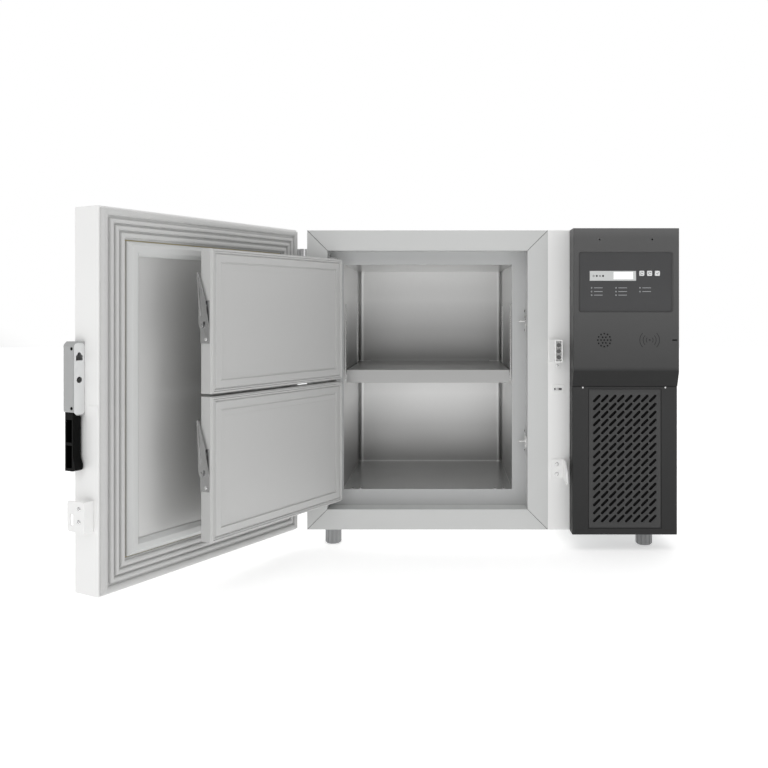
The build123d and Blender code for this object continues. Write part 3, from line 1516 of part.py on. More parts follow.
with BuildPart() as refrigerant_pipes:
    for run in runs:
        points = [cab.from_local_coords(Vector(*point)) for point in run]
        with BuildLine() as route:
            FilletPolyline(*points, radius=pipe_bend)
        with BuildSketch(Plane(origin=points[0], z_dir=points[1] - points[0])):
            RegularPolygon(pipe_radius, pipe_sides)
        sweep(path=route.wires()[0])
    with BuildSketch(Plane(origin=drier_start, z_dir=drier_way)):
        RegularPolygon(drier_radius, pipe_sides)
    extrude(amount=drier_length)
save(refrigerant_pipes, "refrigerant_pipes")

# Power inlet in the rear cover
inlet_x_span = grown((inlet_x, inlet_x), inlet_width / 2)
inlet_z_span = grown((inlet_level, inlet_level), inlet_height / 2)
with BuildPart(cab) as power_inlet:
    block(inlet_x_span, (case_depth - inlet_depth, case_depth), inlet_z_span)
    block(
        grown(inlet_x_span, inlet_rim), (case_depth, case_depth + inlet_wall),
        grown(inlet_z_span, inlet_rim),
    )
    block(
        grown(inlet_x_span, -inlet_wall), (case_depth - inlet_depth + inlet_wall, case_depth + over),
        grown(inlet_z_span, -inlet_wall), mode=Mode.SUBTRACT,
    )
    for i in (-1, 0, 1):
        x = inlet_x + i * inlet_width / 4
        z = inlet_level + (inlet_pin if i == 0 else -inlet_pin)
        block(
            grown((x, x), inlet_pin / 4), (case_depth - inlet_depth, case_depth - inlet_depth + inlet_pin_length),
            grown((z, z), inlet_pin),
        )
save(power_inlet, "power_inlet")

# Levelling feet: a fluted knob with a bevelled foot and a stud
foot_knob = case_bottom - seam
feet = (
    ("foot_front_left", foot_left[0]), ("foot_rear_left", foot_left[1]),
    ("foot_front_right", foot_right[0]), ("foot_rear_right", foot_right[1]),
)
for name, place in feet:
    with BuildPart() as foot:
        with BuildSketch(cab):
            with Locations(place):
                RegularPolygon(foot_radius, 2 * foot_flutes)
        extrude(amount=foot_knob)
        chamfer(foot.faces().sort_by(Axis.Z)[0].edges(), foot_bevel)
        with BuildSketch(cab.offset(foot_bevel)):
            with Locations(place):
                with PolarLocations(foot_radius, foot_flutes):
                    Rectangle(2 * flute_depth, flute_width)
        extrude(amount=foot_knob - foot_bevel - foot_collar, mode=Mode.SUBTRACT)
        with BuildSketch(cab.offset(foot_knob)):
            with Locations(place):
                RegularPolygon(foot_stud_radius, foot_stud_sides)
        extrude(amount=foot_stud_length)
    save(foot, name)
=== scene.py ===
import bpy
import bmesh
import json
from math import cos, pi, radians, sin
from mathutils import Matrix, Vector

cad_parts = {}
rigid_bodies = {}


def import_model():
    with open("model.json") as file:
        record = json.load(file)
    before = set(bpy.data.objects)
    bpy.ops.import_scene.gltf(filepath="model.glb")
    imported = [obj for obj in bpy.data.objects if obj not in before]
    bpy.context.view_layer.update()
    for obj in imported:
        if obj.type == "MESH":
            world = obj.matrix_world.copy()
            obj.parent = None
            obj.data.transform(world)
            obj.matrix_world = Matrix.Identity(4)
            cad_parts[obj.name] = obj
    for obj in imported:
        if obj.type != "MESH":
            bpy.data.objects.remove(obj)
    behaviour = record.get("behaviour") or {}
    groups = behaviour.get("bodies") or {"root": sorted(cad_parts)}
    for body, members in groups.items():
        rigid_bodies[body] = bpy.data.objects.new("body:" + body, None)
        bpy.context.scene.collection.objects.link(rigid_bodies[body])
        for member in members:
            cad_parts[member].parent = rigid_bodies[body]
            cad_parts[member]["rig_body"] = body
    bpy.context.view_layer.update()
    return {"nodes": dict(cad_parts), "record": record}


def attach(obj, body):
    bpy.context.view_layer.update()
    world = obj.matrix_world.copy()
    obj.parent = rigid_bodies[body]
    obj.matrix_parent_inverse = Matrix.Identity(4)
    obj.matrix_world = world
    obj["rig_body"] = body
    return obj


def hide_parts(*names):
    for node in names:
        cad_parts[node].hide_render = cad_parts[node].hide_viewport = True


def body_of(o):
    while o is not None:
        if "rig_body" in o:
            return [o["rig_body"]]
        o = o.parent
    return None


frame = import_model()
nodes = frame["nodes"]
print("frame loaded,", len(nodes), "nodes")

# Millimetres of the closed freezer: x from the cabinet's left side, y from the front of
# its door frame, z from the floor. Each matrix sets such a shape in the open part, in metres.
layout = {"middle": (275.2965, 11.3463), "open": 118.8, "doorPivot": (-11.5, 1.0),
          "innerPivot": (68.0, 20.5)}


def openedAbout(pivot):
    place = Matrix.Translation((pivot[0], pivot[1], 0))
    return cabinet @ place @ Matrix.Rotation(radians(-layout["open"]), 4, "Z") @ place.inverted()


cabinet = Matrix.Scale(0.001, 4) @ Matrix.Translation((-layout["middle"][0], -layout["middle"][1], 0))
mainDoor = openedAbout(layout["doorPivot"])
innerDoor = openedAbout(layout["innerPivot"])


class Wire:
    # one output of a material's nodes; sums and products with it add Math nodes
    def __init__(self, finish, socket):
        self.finish = finish
        self.socket = socket

    def join(self, operation, *values):
        inputs = dict(enumerate(values))
        return self.finish.add("ShaderNodeMath", {"operation": operation}, inputs)

    def __add__(self, other):
        return self.join("ADD", self, other)

    def __radd__(self, other):
        return self.join("ADD", other, self)

    def __sub__(self, other):
        return self.join("SUBTRACT", self, other)

    def __rsub__(self, other):
        return self.join("SUBTRACT", other, self)

    def __mul__(self, other):
        return self.join("MULTIPLY", self, other)

    def __rmul__(self, other):
        return self.join("MULTIPLY", other, self)

    def __truediv__(self, other):
        return self.join("DIVIDE", self, other)

    def __gt__(self, other):
        return self.join("GREATER_THAN", self, other)

    def __lt__(self, other):
        return self.join("LESS_THAN", self, other)


class Nodes:
    # a node tree that new nodes are added to by type, settings and inputs
    def __init__(self, tree):
        self.tree = tree

    def add(self, kind, settings=None, inputs=None, output=0):
        node = self.tree.nodes.new(kind)
        for key, value in (settings or {}).items():
            if key == "stops":
                elements = node.color_ramp.elements
                elements[0].position, elements[1].position = value[0][0], value[-1][0]
                for position, _ in value[1:-1]:
                    elements.new(position)
                for element, (_, colour) in zip(elements, value):
                    element.color = (*colour, 1)
            else:
                setattr(node, key, value)
        for key, value in (inputs or {}).items():
            if isinstance(value, Wire):
                self.tree.links.new(value.socket, node.inputs[key])
            else:
                node.inputs[key].default_value = value
        return Wire(self, node.outputs[output])


class Finish(Nodes):
    # a material: its shader takes constants by name, and wires for what varies
    def __init__(self, name, **constants):
        self.material = bpy.data.materials.new(name)
        self.material.use_nodes = True
        super().__init__(self.material.node_tree)
        self.shader = self.tree.nodes["Principled BSDF"]
        for socket, value in constants.items():
            self.shader.inputs[socket.replace("_", " ")].default_value = value

    def where(self):
        return self.add("ShaderNodeTexCoord", output="Object")

    def height(self):
        return self.add("ShaderNodeSeparateXYZ", inputs={"Vector": self.where()}, output="Z")

    def noise(self, size, detail=3, rough=0.5, stretch=(1, 1, 1)):
        # clouds of a size in metres, finer along an axis that has a larger stretch
        scale = tuple(s / size for s in stretch)
        mapped = self.add("ShaderNodeMapping", inputs={"Vector": self.where(), "Scale": scale})
        return self.add("ShaderNodeTexNoise", {"noise_dimensions": "3D"}, {
            "Vector": mapped, "Scale": 1, "Detail": detail, "Roughness": rough})

    def blend(self, amount, low, high):
        return self.add("ShaderNodeMix", {"data_type": "RGBA"}, {0: amount, 6: low, 7: high}, 2)

    def mottled(self, amount, tone, share):
        # the tone, from a share darker to a share lighter as the amount goes from 0 to 1
        darker = tuple(c * (1 - share) for c in tone[:3]) + (1,)
        lighter = tuple(min(1, c * (1 + share)) for c in tone[:3]) + (1,)
        return self.blend(amount, darker, lighter)

    def shaded(self, colour, value, stops):
        # colour multiplied by a grey that follows a value, given as pairs of value and share
        greys = [(place, (share, share, share)) for place, share in stops]
        grey = self.add("ShaderNodeValToRGB", {"stops": greys}, {"Fac": value})
        return self.add("ShaderNodeMix", {"data_type": "RGBA", "blend_type": "MULTIPLY"},
                        {0: 1.0, 6: colour, 7: grey}, 2)

    def feed(self, socket, wire):
        self.tree.links.new(wire.socket, self.shader.inputs[socket])

    def bump(self, height, depth):
        self.feed("Normal", self.add("ShaderNodeBump", inputs={"Height": height, "Distance": depth}))


def shade(*values):
    # screen values 0 to 255 to the renderer's linear colour
    return tuple(v / 255 / 12.92 if v < 10 else ((v / 255 + 0.055) / 1.055) ** 2.4 for v in values) + (1,)


# Sizes in metres of the noises that the finishes are made of
grains = {"cloud": 0.16, "dirt": 0.05, "streak": 0.05, "scratch": 0.012, "sheen": 0.3, "dust": 0.03,
          "skin": 0.0008}


def paint(name, tone, rough=0.42, grain=0.0012, depth=0.00003, mottle=0.02, paintedShading=None, **more):
    # sprayed or moulded coat: orange peel, faint clouding and a little dirt in the roughness.
    # Painted shading is pairs of a height in metres and the share of the tone there
    finish = Finish(name, **more)
    colour = finish.mottled(finish.noise(grains["cloud"], 2), tone, mottle)
    if paintedShading:
        colour = finish.shaded(colour, finish.height(), paintedShading)
    finish.feed("Base Color", colour)
    finish.feed("Roughness", rough - 0.05 + 0.1 * finish.noise(grains["dirt"]))
    finish.bump(finish.noise(grain, 2, 0.6), depth)
    return finish.material


def brushed(name, tone, rough=0.34, along=(1, 60, 60), depth=0.00002, contrast=0.12, metal=1.0, levels=None):
    # rolled and brushed steel: long fine scratches along one way
    finish = Finish(name, Metallic=metal)
    streak = finish.noise(grains["streak"], 4, 0.7, along)
    scratch = finish.noise(grains["scratch"], 3, 0.6, along)
    mix = 0.6 * streak + 0.4 * scratch
    colour = finish.mottled(mix, tone, contrast)
    if levels:
        # how far up its own level a place is, below or above the shelf, which the painted shade follows
        foot, shelf, top = levels["foot"], levels["shelf"], levels["top"]
        height = finish.height()
        upper = height > shelf
        rise = (height - foot - (shelf - foot) * upper) / (shelf - foot + (top - 2 * shelf + foot) * upper)
        colour = finish.shaded(colour, rise, levels["shares"])
    finish.feed("Base Color", colour)
    finish.feed("Roughness", rough - 0.08 + 0.1 * mix + 0.08 * finish.noise(grains["sheen"], 2))
    finish.bump(mix, depth)
    return finish.material


def rubber(name, tone, rough=0.6):
    # soft and matt, a little darker where dust lies
    finish = Finish(name)
    dust = finish.noise(grains["dust"], 4, 0.6)
    dusty = tuple(c * 0.93 for c in tone[:3]) + (1,)
    finish.feed("Base Color", finish.blend(dust, dusty, tone))
    finish.feed("Roughness", rough - 0.06 + 0.12 * dust)
    finish.bump(finish.noise(grains["skin"], 2), 0.00002)
    return finish.material


# Painted shade on the liner: darker towards the foot of each level, as shares of its tone up the level
linerPaintedShade = {"foot": 0.138, "shelf": 0.455, "top": 0.738,
               "shares": ((0.0, 0.95), (0.015, 0.5), (0.36, 0.66), (0.68, 1.0), (1.0, 0.95))}

finishes = {
    "case": paint("casePaint", shade(247, 247, 246), rough=0.36),
    "frame": paint("frameMoulding", shade(209, 210, 209), rough=0.5, grain=0.0016, depth=0.00002),
    "land": paint("landMoulding", shade(196, 197, 197), rough=0.5),
    "steel": brushed("linerSteel", shade(236, 236, 235), rough=0.3, along=(60, 60, 1), contrast=0.05,
                     metal=0.85, levels=linerPaintedShade),
    "panel": brushed("doorPanelSteel", shade(214, 214, 213), rough=0.4, along=(60, 60, 1), contrast=0.03,
                     metal=0.7),
    "sheet": brushed("innerDoorSteel", shade(204, 204, 203), rough=0.48, along=(60, 60, 1), contrast=0.04,
                     metal=0.25),
    "shelf": brushed("shelfSteel", shade(182, 182, 181), rough=0.32, along=(1, 60, 60), contrast=0.05,
                     metal=0.8),
    "bright": brushed("bracketSteel", shade(216, 216, 215), rough=0.22, along=(3, 3, 3), depth=0.000002,
                      contrast=0.03),
    "latch": brushed("latchSteel", shade(182, 182, 182), rough=0.2, along=(2, 2, 2), depth=0.0000004,
                     contrast=0.05),
    "chrome": brushed("hingeChrome", shade(232, 232, 233), rough=0.1, along=(40, 40, 1), depth=0.000004,
                      contrast=0.03),
    "zinc": paint("zincSheet", shade(176, 178, 178), rough=0.35, Metallic=0.8),
    "fitting": paint("fittingPaint", shade(246, 246, 245), rough=0.34),
    "seal": rubber("sealRubber", shade(208, 208, 207)),
    "innerSeal": rubber("innerSealRubber", shade(206, 206, 205)),
    # painted shade on the hood: the band under its nose much darker, its front darker downwards, and a
    # painted light at its top
    "hood": paint("hoodMoulding", shade(92, 92, 92), rough=0.5, grain=0.0011, depth=0.00005, mottle=0.03,
                  paintedShading=((0.462, 0.22), (0.47, 0.62), (0.6, 0.86), (0.8, 1.0), (0.825, 1.3)),
                  Specular_IOR_Level=0.2),
    # painted shade on the fascia: darker towards the floor
    "fascia": paint("fasciaMoulding", shade(58, 58, 58), rough=0.5, grain=0.0011, depth=0.00005,
                    mottle=0.03, paintedShading=((0.05, 0.7), (0.4, 1.0)), Specular_IOR_Level=0.2),
    "grille": paint("grilleMoulding", shade(72, 72, 72), rough=0.5, grain=0.0011, depth=0.00004,
                    mottle=0.03, Specular_IOR_Level=0.2),
    "overlay": paint("overlayFilm", shade(68, 68, 69), rough=0.34, grain=0.0009, depth=0.00001,
                     mottle=0.03),
    "key": paint("keyCaps", shade(232, 233, 233), rough=0.4, grain=0.0008, depth=0.00002, mottle=0.02),
    "print": paint("darkPrint", shade(22, 22, 23), rough=0.5, grain=0.0008, depth=0.000004, mottle=0.04),
    # dark joints of the rails, and painted shade in the striker's window and the switch plate's slot
    "joint": paint("jointSealAndShade", shade(92, 92, 92), rough=0.6, grain=0.0008, depth=0.000004, mottle=0.05),
    "lightPrint": paint("lightPrint", shade(176, 178, 180), rough=0.5, grain=0.0008, depth=0.000004,
                        mottle=0.03),
    "screen": paint("screenGlass", shade(212, 214, 213), rough=0.16, grain=0.004, depth=0.000002,
                    mottle=0.02),
    "lit": paint("litScreen", shade(250, 252, 250), rough=0.2, grain=0.004, depth=0.000002, mottle=0.01,
                 Emission_Color=(1, 1, 1, 1), Emission_Strength=0.2),
    "cast": paint("castHousing", shade(172, 173, 173), rough=0.4, grain=0.0018, depth=0.00006, mottle=0.03),
    "castFront": paint("castFront", shade(224, 225, 225), rough=0.4, grain=0.0018, depth=0.00004,
                       mottle=0.02),
    "black": paint("blackMoulding", shade(8, 8, 8), rough=0.36, grain=0.001, depth=0.00003, mottle=0.1,
                   Specular_IOR_Level=0.08),
    "blackPaint": paint("blackEnamel", shade(26, 26, 27), rough=0.3, grain=0.002, depth=0.00003,
                        mottle=0.08),
    "foot": paint("footMoulding", shade(150, 151, 152), rough=0.42, grain=0.0012, depth=0.00004),
    "copper": brushed("copperTube", shade(196, 128, 92), rough=0.3, along=(12, 12, 12), depth=0.00001,
                      contrast=0.1),
    "fins": brushed("finAluminium", shade(190, 191, 193), rough=0.4, along=(300, 20, 1), depth=0.0002,
                    contrast=0.2),
    "foam": rubber("foamCore", shade(222, 208, 160), rough=0.9),
    "board": paint("circuitBoard", shade(38, 92, 60), rough=0.35, grain=0.002, depth=0.00004, mottle=0.15),
    "filter": rubber("filterPad", shade(6, 6, 6), rough=0.95),
    "mountRubber": rubber("mountRubber", shade(34, 34, 34), rough=0.7),
    "screw": brushed("screwSteel", shade(222, 222, 222), rough=0.22, along=(3, 3, 3), depth=0.000002,
                     contrast=0.03),
}
nodeFinish = {
    "cabinet_shell": "case", "machine_cover": "case", "rear_cover": "case", "base_pan": "zinc",
    "insulation_foam": "foam", "inner_liner": "steel", "recess_frame": "land", "breaker_rails": "frame",
    "evaporator_coil": "copper", "shelf": "shelf", "shelf_supports": "bright", "door_striker": "fitting",
    "switch_plate": "fitting", "cabinet_hasp": "fitting", "inner_strikes": "bright", "main_hinges": "chrome",
    "inner_hinges": "bright", "control_housing": "hood", "lower_fascia": "fascia",
    "display_panel": "overlay", "display_screen": "screen", "key_left": "key", "key_middle": "key",
    "key_right": "key", "speaker": "black", "control_board": "board", "condenser": "fins",
    "fan_shroud": "blackPaint", "fan_blade": "black", "compressors": "blackPaint",
    "compressor_mounts": "mountRubber", "heat_exchanger": "blackPaint", "refrigerant_pipes": "copper",
    "power_inlet": "black", "intake_grille": "grille", "air_filter": "filter",
    "foot_front_left": "foot", "foot_front_right": "foot", "foot_rear_left": "foot",
    "foot_rear_right": "foot", "door_shell": "case", "door_foam": "foam", "door_gasket": "seal",
    "door_plug_frame": "frame", "door_inner_panel": "panel", "door_hinge_leaves": "chrome",
    "handle_housing": "cast", "handle_lever": "black", "door_hasp": "fitting", "door_switch_pad": "fitting",
    "lower_inner_door": "sheet", "lower_inner_foam": "foam", "lower_inner_gasket": "innerSeal",
    "lower_inner_latch_plate": "latch", "lower_inner_latch_lever": "latch",
    "upper_inner_door": "sheet", "upper_inner_foam": "foam", "upper_inner_gasket": "innerSeal",
    "upper_inner_latch_plate": "latch", "upper_inner_latch_lever": "latch",
}
for name, finish in nodeFinish.items():
    nodes[name].data.materials.clear()
    nodes[name].data.materials.append(finishes[finish])
print("finishes on", len(nodeFinish), "nodes")

# Each node's material slot, as model.json gives it
slotOf = {entry["node"]: entry["material_slot"] for entry in frame["record"]["subparts"]}


def setOut(name, data):
    thing = bpy.data.objects.new(name, data)
    bpy.context.scene.collection.objects.link(thing)
    return thing


def pieceOf(name, shape, finish, sharp):
    # object from a bmesh, smooth save at edges sharper than an angle
    for face in shape.faces:
        face.smooth = True
    mesh = bpy.data.meshes.new(name)
    shape.to_mesh(mesh)
    shape.free()
    mesh.set_sharp_from_angle(angle=radians(sharp))
    mesh.materials.append(finishes[finish])
    return setOut(name, mesh)


def keep(name, shape, place, body, finish, sharp=35):
    # one finished piece from a bmesh in closed millimetres
    bmesh.ops.transform(shape, matrix=place, verts=shape.verts)
    bmesh.ops.remove_doubles(shape, verts=shape.verts, dist=0.000002)
    bmesh.ops.recalc_face_normals(shape, faces=shape.faces)
    piece = pieceOf(name, shape, finish, sharp)
    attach(piece, body)
    return piece


def softened(node, width, segments=2, angle=28):
    # copy of a CAD node whose edges are broken, so that they catch the light
    shape = bmesh.new()
    shape.from_mesh(nodes[node].data)
    bmesh.ops.remove_doubles(shape, verts=shape.verts, dist=0.000005)
    bmesh.ops.dissolve_limit(shape, angle_limit=radians(0.6), verts=shape.verts, edges=shape.edges)
    piece = pieceOf(node + "Edged", shape, nodeFinish[node], angle)
    edges = piece.modifiers.new("edges", "BEVEL")
    edges.width = width / 1000
    edges.segments = segments
    edges.limit_method = "ANGLE"
    edges.angle_limit = radians(angle)
    edges.harden_normals = True
    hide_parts(node)
    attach(piece, body_of(nodes[node])[0])


# Widths of the broken edges in millimetres
edged = {
    "door_shell": 0.8, "door_plug_frame": 1.2, "door_inner_panel": 0.2, "breaker_rails": 0.8,
    "recess_frame": 0.8, "shelf": 0.9, "lower_inner_door": 0.7, "upper_inner_door": 0.7,
    "handle_housing": 0.8, "handle_lever": 0.8,
    "door_hasp": 0.7, "cabinet_hasp": 0.7, "door_striker": 0.9, "switch_plate": 0.5, "door_switch_pad": 0.5,
    "lower_inner_latch_plate": 0.5, "upper_inner_latch_plate": 0.5, "lower_inner_latch_lever": 0.6,
    "upper_inner_latch_lever": 0.6, "control_housing": 0.5, "lower_fascia": 0.5, "display_panel": 0.2,
    "key_left": 0.4, "key_middle": 0.4, "key_right": 0.4, "foot_front_left": 0.6, "foot_front_right": 0.6,
    "foot_rear_left": 0.6, "foot_rear_right": 0.6, "machine_cover": 0.4, "rear_cover": 0.4,
    "cabinet_shell": 0.4, "power_inlet": 0.4, "inner_hinges": 0.3,
}
for node, width in edged.items():
    softened(node, width)
print("broken edges on", len(edged), "pieces")


def loopAt(shape, box, inset, depth, hair=0.0029):
    # rectangle of vertices in a plane that faces the front, a hair inside its line
    inset += hair
    left, right, low, high = box[0] + inset, box[1] - inset, box[2] + inset, box[3] - inset
    corners = ((right, high), (left, high), (left, low), (right, low))
    return [shape.verts.new((x, depth, z)) for x, z in corners]


def moulding(name, box, section, place, body, slot, finish):
    # strip with one section all the way round a rectangle, mitred at its corners. Its faces are made
    # one by one, because bridge_loops laid flat faces across the middle as well
    shape = bmesh.new()
    loops = [loopAt(shape, box, inset, depth) for inset, depth in section]
    for one, other in zip(loops, loops[1:] + loops[:1]):
        for i in range(4):
            shape.faces.new((one[i - 1], one[i], other[i], other[i - 1]))
    return keep(name, shape, place, body, finish)


def roundRib(start, width, base, crown, steps=8, fullness=0.6):
    # section of a soft rib as inset and depth pairs
    half = width / 2
    points = []
    for i in range(steps + 1):
        angle = pi * i / steps
        points.append((start + half - half * cos(angle), base + (crown - base) * sin(angle) ** fullness))
    return points


# Main door's seal: four soft ribs on one strip, given by their starts and widths
seal = {"box": (0.5, 626.5, 45.5, 825.0), "lip": 4.0, "end": 64.0, "seat": -11.5, "base": -8.2, "crown": -0.4,
        "ribs": ((4.1, 14.0), (23.1, 9.5), (36.1, 10.0), (49.6, 11.0))}
section = [(seal["lip"], seal["seat"]), (seal["lip"], seal["base"])]
for start, width in seal["ribs"]:
    section += roundRib(start, width, seal["base"], seal["crown"])
section += [(seal["end"], seal["base"]), (seal["end"], seal["seat"])]
ribs = moulding("doorSealRibs", seal["box"], section, mainDoor, "main_door", slotOf["door_gasket"], "seal")
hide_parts("door_gasket")

# Closing sides of the inner doors, which their seals and coves go round
innerFeet = {"lower": 119.0, "upper": 437.0}
innerSide = {"left": 76.0, "right": 554.0, "height": 312.0}
innerBoxes = {level + "_inner": (innerSide["left"], innerSide["right"], foot, foot + innerSide["height"])
              for level, foot in innerFeet.items()}

# Inner doors' seals: two beads
bead = {"lip": 2.0, "end": 9.0, "seat": 50.2, "base": 50.8, "crown": 54.1, "ribs": ((2.1, 3.2), (5.6, 3.2)),
        "steps": 6}
section = [(bead["lip"], bead["seat"])]
for start, width in bead["ribs"]:
    section += roundRib(start, width, bead["base"], bead["crown"], bead["steps"])
section.append((bead["end"], bead["seat"]))
for body, box in innerBoxes.items():
    beads = moulding(body + "Beads", box, section, innerDoor, body, slotOf[body + "_gasket"], "innerSeal")
    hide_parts(body + "_gasket")

# Inner doors' shallow cove between the raised rib and the panel, as insets and depths
cove = {"section": ((27.5, 50.0), (27.5, 50.3), (30.1, 50.3), (32.1, 51.6), (35.5, 51.35), (44.0, 51.25),
                    (44.0, 50.0))}
for body, box in innerBoxes.items():
    moulding(body + "Cove", box, cove["section"], innerDoor, body, slotOf[body + "_door"], "sheet")
print("seals made")

# Ways that a shape made round the upright axis can be tilted to face
turns = {"front": Matrix.Rotation(radians(90), 4, "X"), "back": Matrix.Rotation(radians(-90), 4, "X"),
         "right": Matrix.Rotation(radians(90), 4, "Y"), "left": Matrix.Rotation(radians(-90), 4, "Y")}


def facing(spot, way, turn=0):
    return Matrix.Translation(spot) @ turns[way] @ Matrix.Rotation(radians(turn), 4, "Z")


def pill(x, z, length, width, turn, steps=6):
    # outline of a round-ended slot, or of a circle where length and width are the same
    points = []
    for i in range(2 * (steps + 1)):
        side = 1 if i <= steps else -1
        angle = -pi / 2 + pi * (i % (steps + 1)) / steps + (0 if side > 0 else pi)
        along = side * (length - width) / 2 + width / 2 * cos(angle)
        out = width / 2 * sin(angle)
        points.append((x + along * cos(turn) - out * sin(turn), z + along * sin(turn) + out * cos(turn)))
    return points


def flatPlate(name, outlines, depth, thick, edge, place, body, finish):
    # plate that faces the front, filled between its outline and its holes
    curve = bpy.data.curves.new(name, "CURVE")
    curve.dimensions = "2D"
    curve.fill_mode = "BOTH"
    curve.extrude = thick / 2 - edge
    curve.bevel_depth = edge
    curve.bevel_resolution = 1
    curve.offset = -edge
    for outline in outlines:
        spline = curve.splines.new("POLY")
        spline.points.add(len(outline) - 1)
        for point, (x, z) in zip(spline.points, outline):
            point.co = (x, z, 0, 1)
        spline.use_cyclic_u = True
    flat = setOut(name + "Curve", curve)
    bpy.context.view_layer.update()
    filled = bpy.data.meshes.new_from_object(flat.evaluated_get(bpy.context.evaluated_depsgraph_get()))
    bpy.data.objects.remove(flat)
    shape = bmesh.new()
    shape.from_mesh(filled)
    upright = facing((0, depth + thick / 2, 0), "front")
    return keep(name, shape, place @ upright, body, finish)


# Intake grille: slanted slots with round ends
slots = {"box": (728.5, 912.8, 59.2, 413.8), "front": -45.0, "thick": 3.0, "edge": 0.25, "pitch": 20.5,
         "columns": 8, "rows": 16, "length": 25.5, "width": 7.0}
left, right, low, high = slots["box"]
outlines = [[(left, low), (right, low), (right, high), (left, high)]]
for i in range(slots["columns"]):
    for j in range(slots["rows"]):
        x = (left + right) / 2 + (i - (slots["columns"] - 1) / 2) * slots["pitch"]
        z = (low + high) / 2 + (j - (slots["rows"] - 1) / 2) * slots["pitch"]
        outlines.append(pill(x, z, slots["length"], slots["width"], pi / 4))
grille = flatPlate("grilleSlots", outlines, slots["front"], slots["thick"], slots["edge"], cabinet, "grille",
                   "grille")
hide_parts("intake_grille")
print("grille made with", len(outlines) - 1, "slots")


def settle(shape, place):
    # places what was added to the shape since the last call
    fresh = [v for v in shape.verts if not v.tag]
    bmesh.ops.transform(shape, matrix=place, verts=fresh)
    for v in fresh:
        v.tag = True


def spun(shape, points, steps, place, sweep=360):
    # line of points, as distances from the upright axis and heights, spun about it and then placed
    line = [shape.verts.new((r, 0, h)) for r, h in points]
    edges = [shape.edges.new(pair) for pair in zip(line, line[1:])]
    bmesh.ops.spin(shape, geom=line + edges, cent=(0, 0, 0), axis=(0, 0, 1), angle=radians(sweep),
                   steps=steps, use_merge=sweep == 360)
    settle(shape, place)


def bevelled(shape, edges, width, segments):
    bmesh.ops.bevel(shape, geom=edges, offset=width, offset_type="OFFSET", affect="EDGES",
                    segments=segments, profile=0.5, material=-1)


# Screws: domed heads with a round socket. The dome's distances and heights are shares of its radius, and
# each kind has its matrix, body, way, radius and spots
screw = {"dome": ((0, 0.1), (0.34, 0.1), (0.42, 0.36), (0.62, 0.36), (0.88, 0.24), (1.0, 0.08), (1.0, 0)),
         "steps": 20, "sharp": 50, "dark": ("handleScrew", "strikeScrew")}
heads = {
    "fasciaScrew": (cabinet, "cabinet", "front", 2.5, [(x, -45.8, 418.5) for x in (713, 924.5)]),
    "postHaspScrew": (cabinet, "cabinet", "front", 5.2, [(652, -2.4, z) for z in (214.8, 189.2)]),
    "doorHaspScrew": (mainDoor, "main_door", "right", 5.2, [(649.9, -37.7, z) for z in (222.8, 197.2)]),
    "handleScrew": (mainDoor, "main_door", "right", 3.4, [(653.0, -55.2, z) for z in (540.0, 421.5)]),
    "lowerLatchScrew": (innerDoor, "lower_inner", "right", 4.0,
                        [(555.9, 36.2, innerFeet["lower"] + z) for z in (117, 189)]),
    "upperLatchScrew": (innerDoor, "upper_inner", "right", 4.0,
                        [(555.9, 36.2, innerFeet["upper"] + z) for z in (117, 189)]),
    "strikeScrew": (cabinet, "cabinet", "left", 3.2, [(572.1, 38.8, z) for z in (246, 296, 564, 614)]),
    "hingeScrew": (cabinet, "cabinet", "left", 4.2, [(-2.9, y, z) for y in (32, 56) for z in (115, 707)]),
    "leafScrew": (mainDoor, "main_door", "left", 4.2, [(-2.4, y, z) for y in (-36, -60) for z in (161, 753)]),
    "rearScrew": (cabinet, "cabinet", "back", 4.0,
                  [(x, 589.9, z) for x in (696, 945) for z in (60, 434, 812)]),
    "strikerScrew": (cabinet, "cabinet", "front", 3.4, [(653, -2.9, 473)]),
}
for name, (place, body, way, radius, spots) in heads.items():
    shape = bmesh.new()
    dome = [(r * radius, h * radius) for r, h in screw["dome"]]
    for spot in spots:
        spun(shape, dome, screw["steps"], facing(spot, way))
    finish = "black" if name in screw["dark"] else "screw"
    keep(name + "s", shape, place, body, finish, screw["sharp"])
print("screws made")

# Strikes' straps on the right wall of the recess, plates with round corners
strap = {"middle": (572.6, 38.8), "size": (1.4, 8.6, 64.0), "levels": (271.0, 589.0), "corner": 3.2,
         "segments": 4}
shape = bmesh.new()
for level in strap["levels"]:
    place = Matrix.Translation((*strap["middle"], level)) @ Matrix.Diagonal((*strap["size"], 1))
    bmesh.ops.create_cube(shape, size=1, matrix=place)
corners = [e for e in shape.edges if abs(e.verts[0].co.x - e.verts[1].co.x) > strap["size"][0] / 2]
bevelled(shape, corners, strap["corner"], strap["segments"])
keep("strikeStraps", shape, cabinet, "cabinet", "bright")

# Striker's window: three round rims one above the other; a dark disc of painted shade inside each is among
# the flat marks below
window = {"middle": (653.0, 511.0), "pitch": 15.5, "outer": 7.0, "inner": 5.7, "lip": 0.4, "depth": 6.0,
          "front": -35.2, "steps": 24, "sharp": 50, "floor": (2.9, 5.4), "shadeFront": -34.3}
outer, inner, lip, depth = window["outer"], window["inner"], window["lip"], window["depth"]
rim = [(outer, -depth), (outer, -lip), (outer - lip, 0), (inner + lip, 0), (inner, -lip), (inner, -depth),
       (outer, -depth)]
lobes = [window["middle"][1] + i * window["pitch"] for i in (-1, 0, 1)]
shape = bmesh.new()
for z in lobes:
    spun(shape, rim, window["steps"], facing((window["middle"][0], window["front"], z), "front"))
keep("strikerRims", shape, cabinet, "cabinet", "bright", window["sharp"])

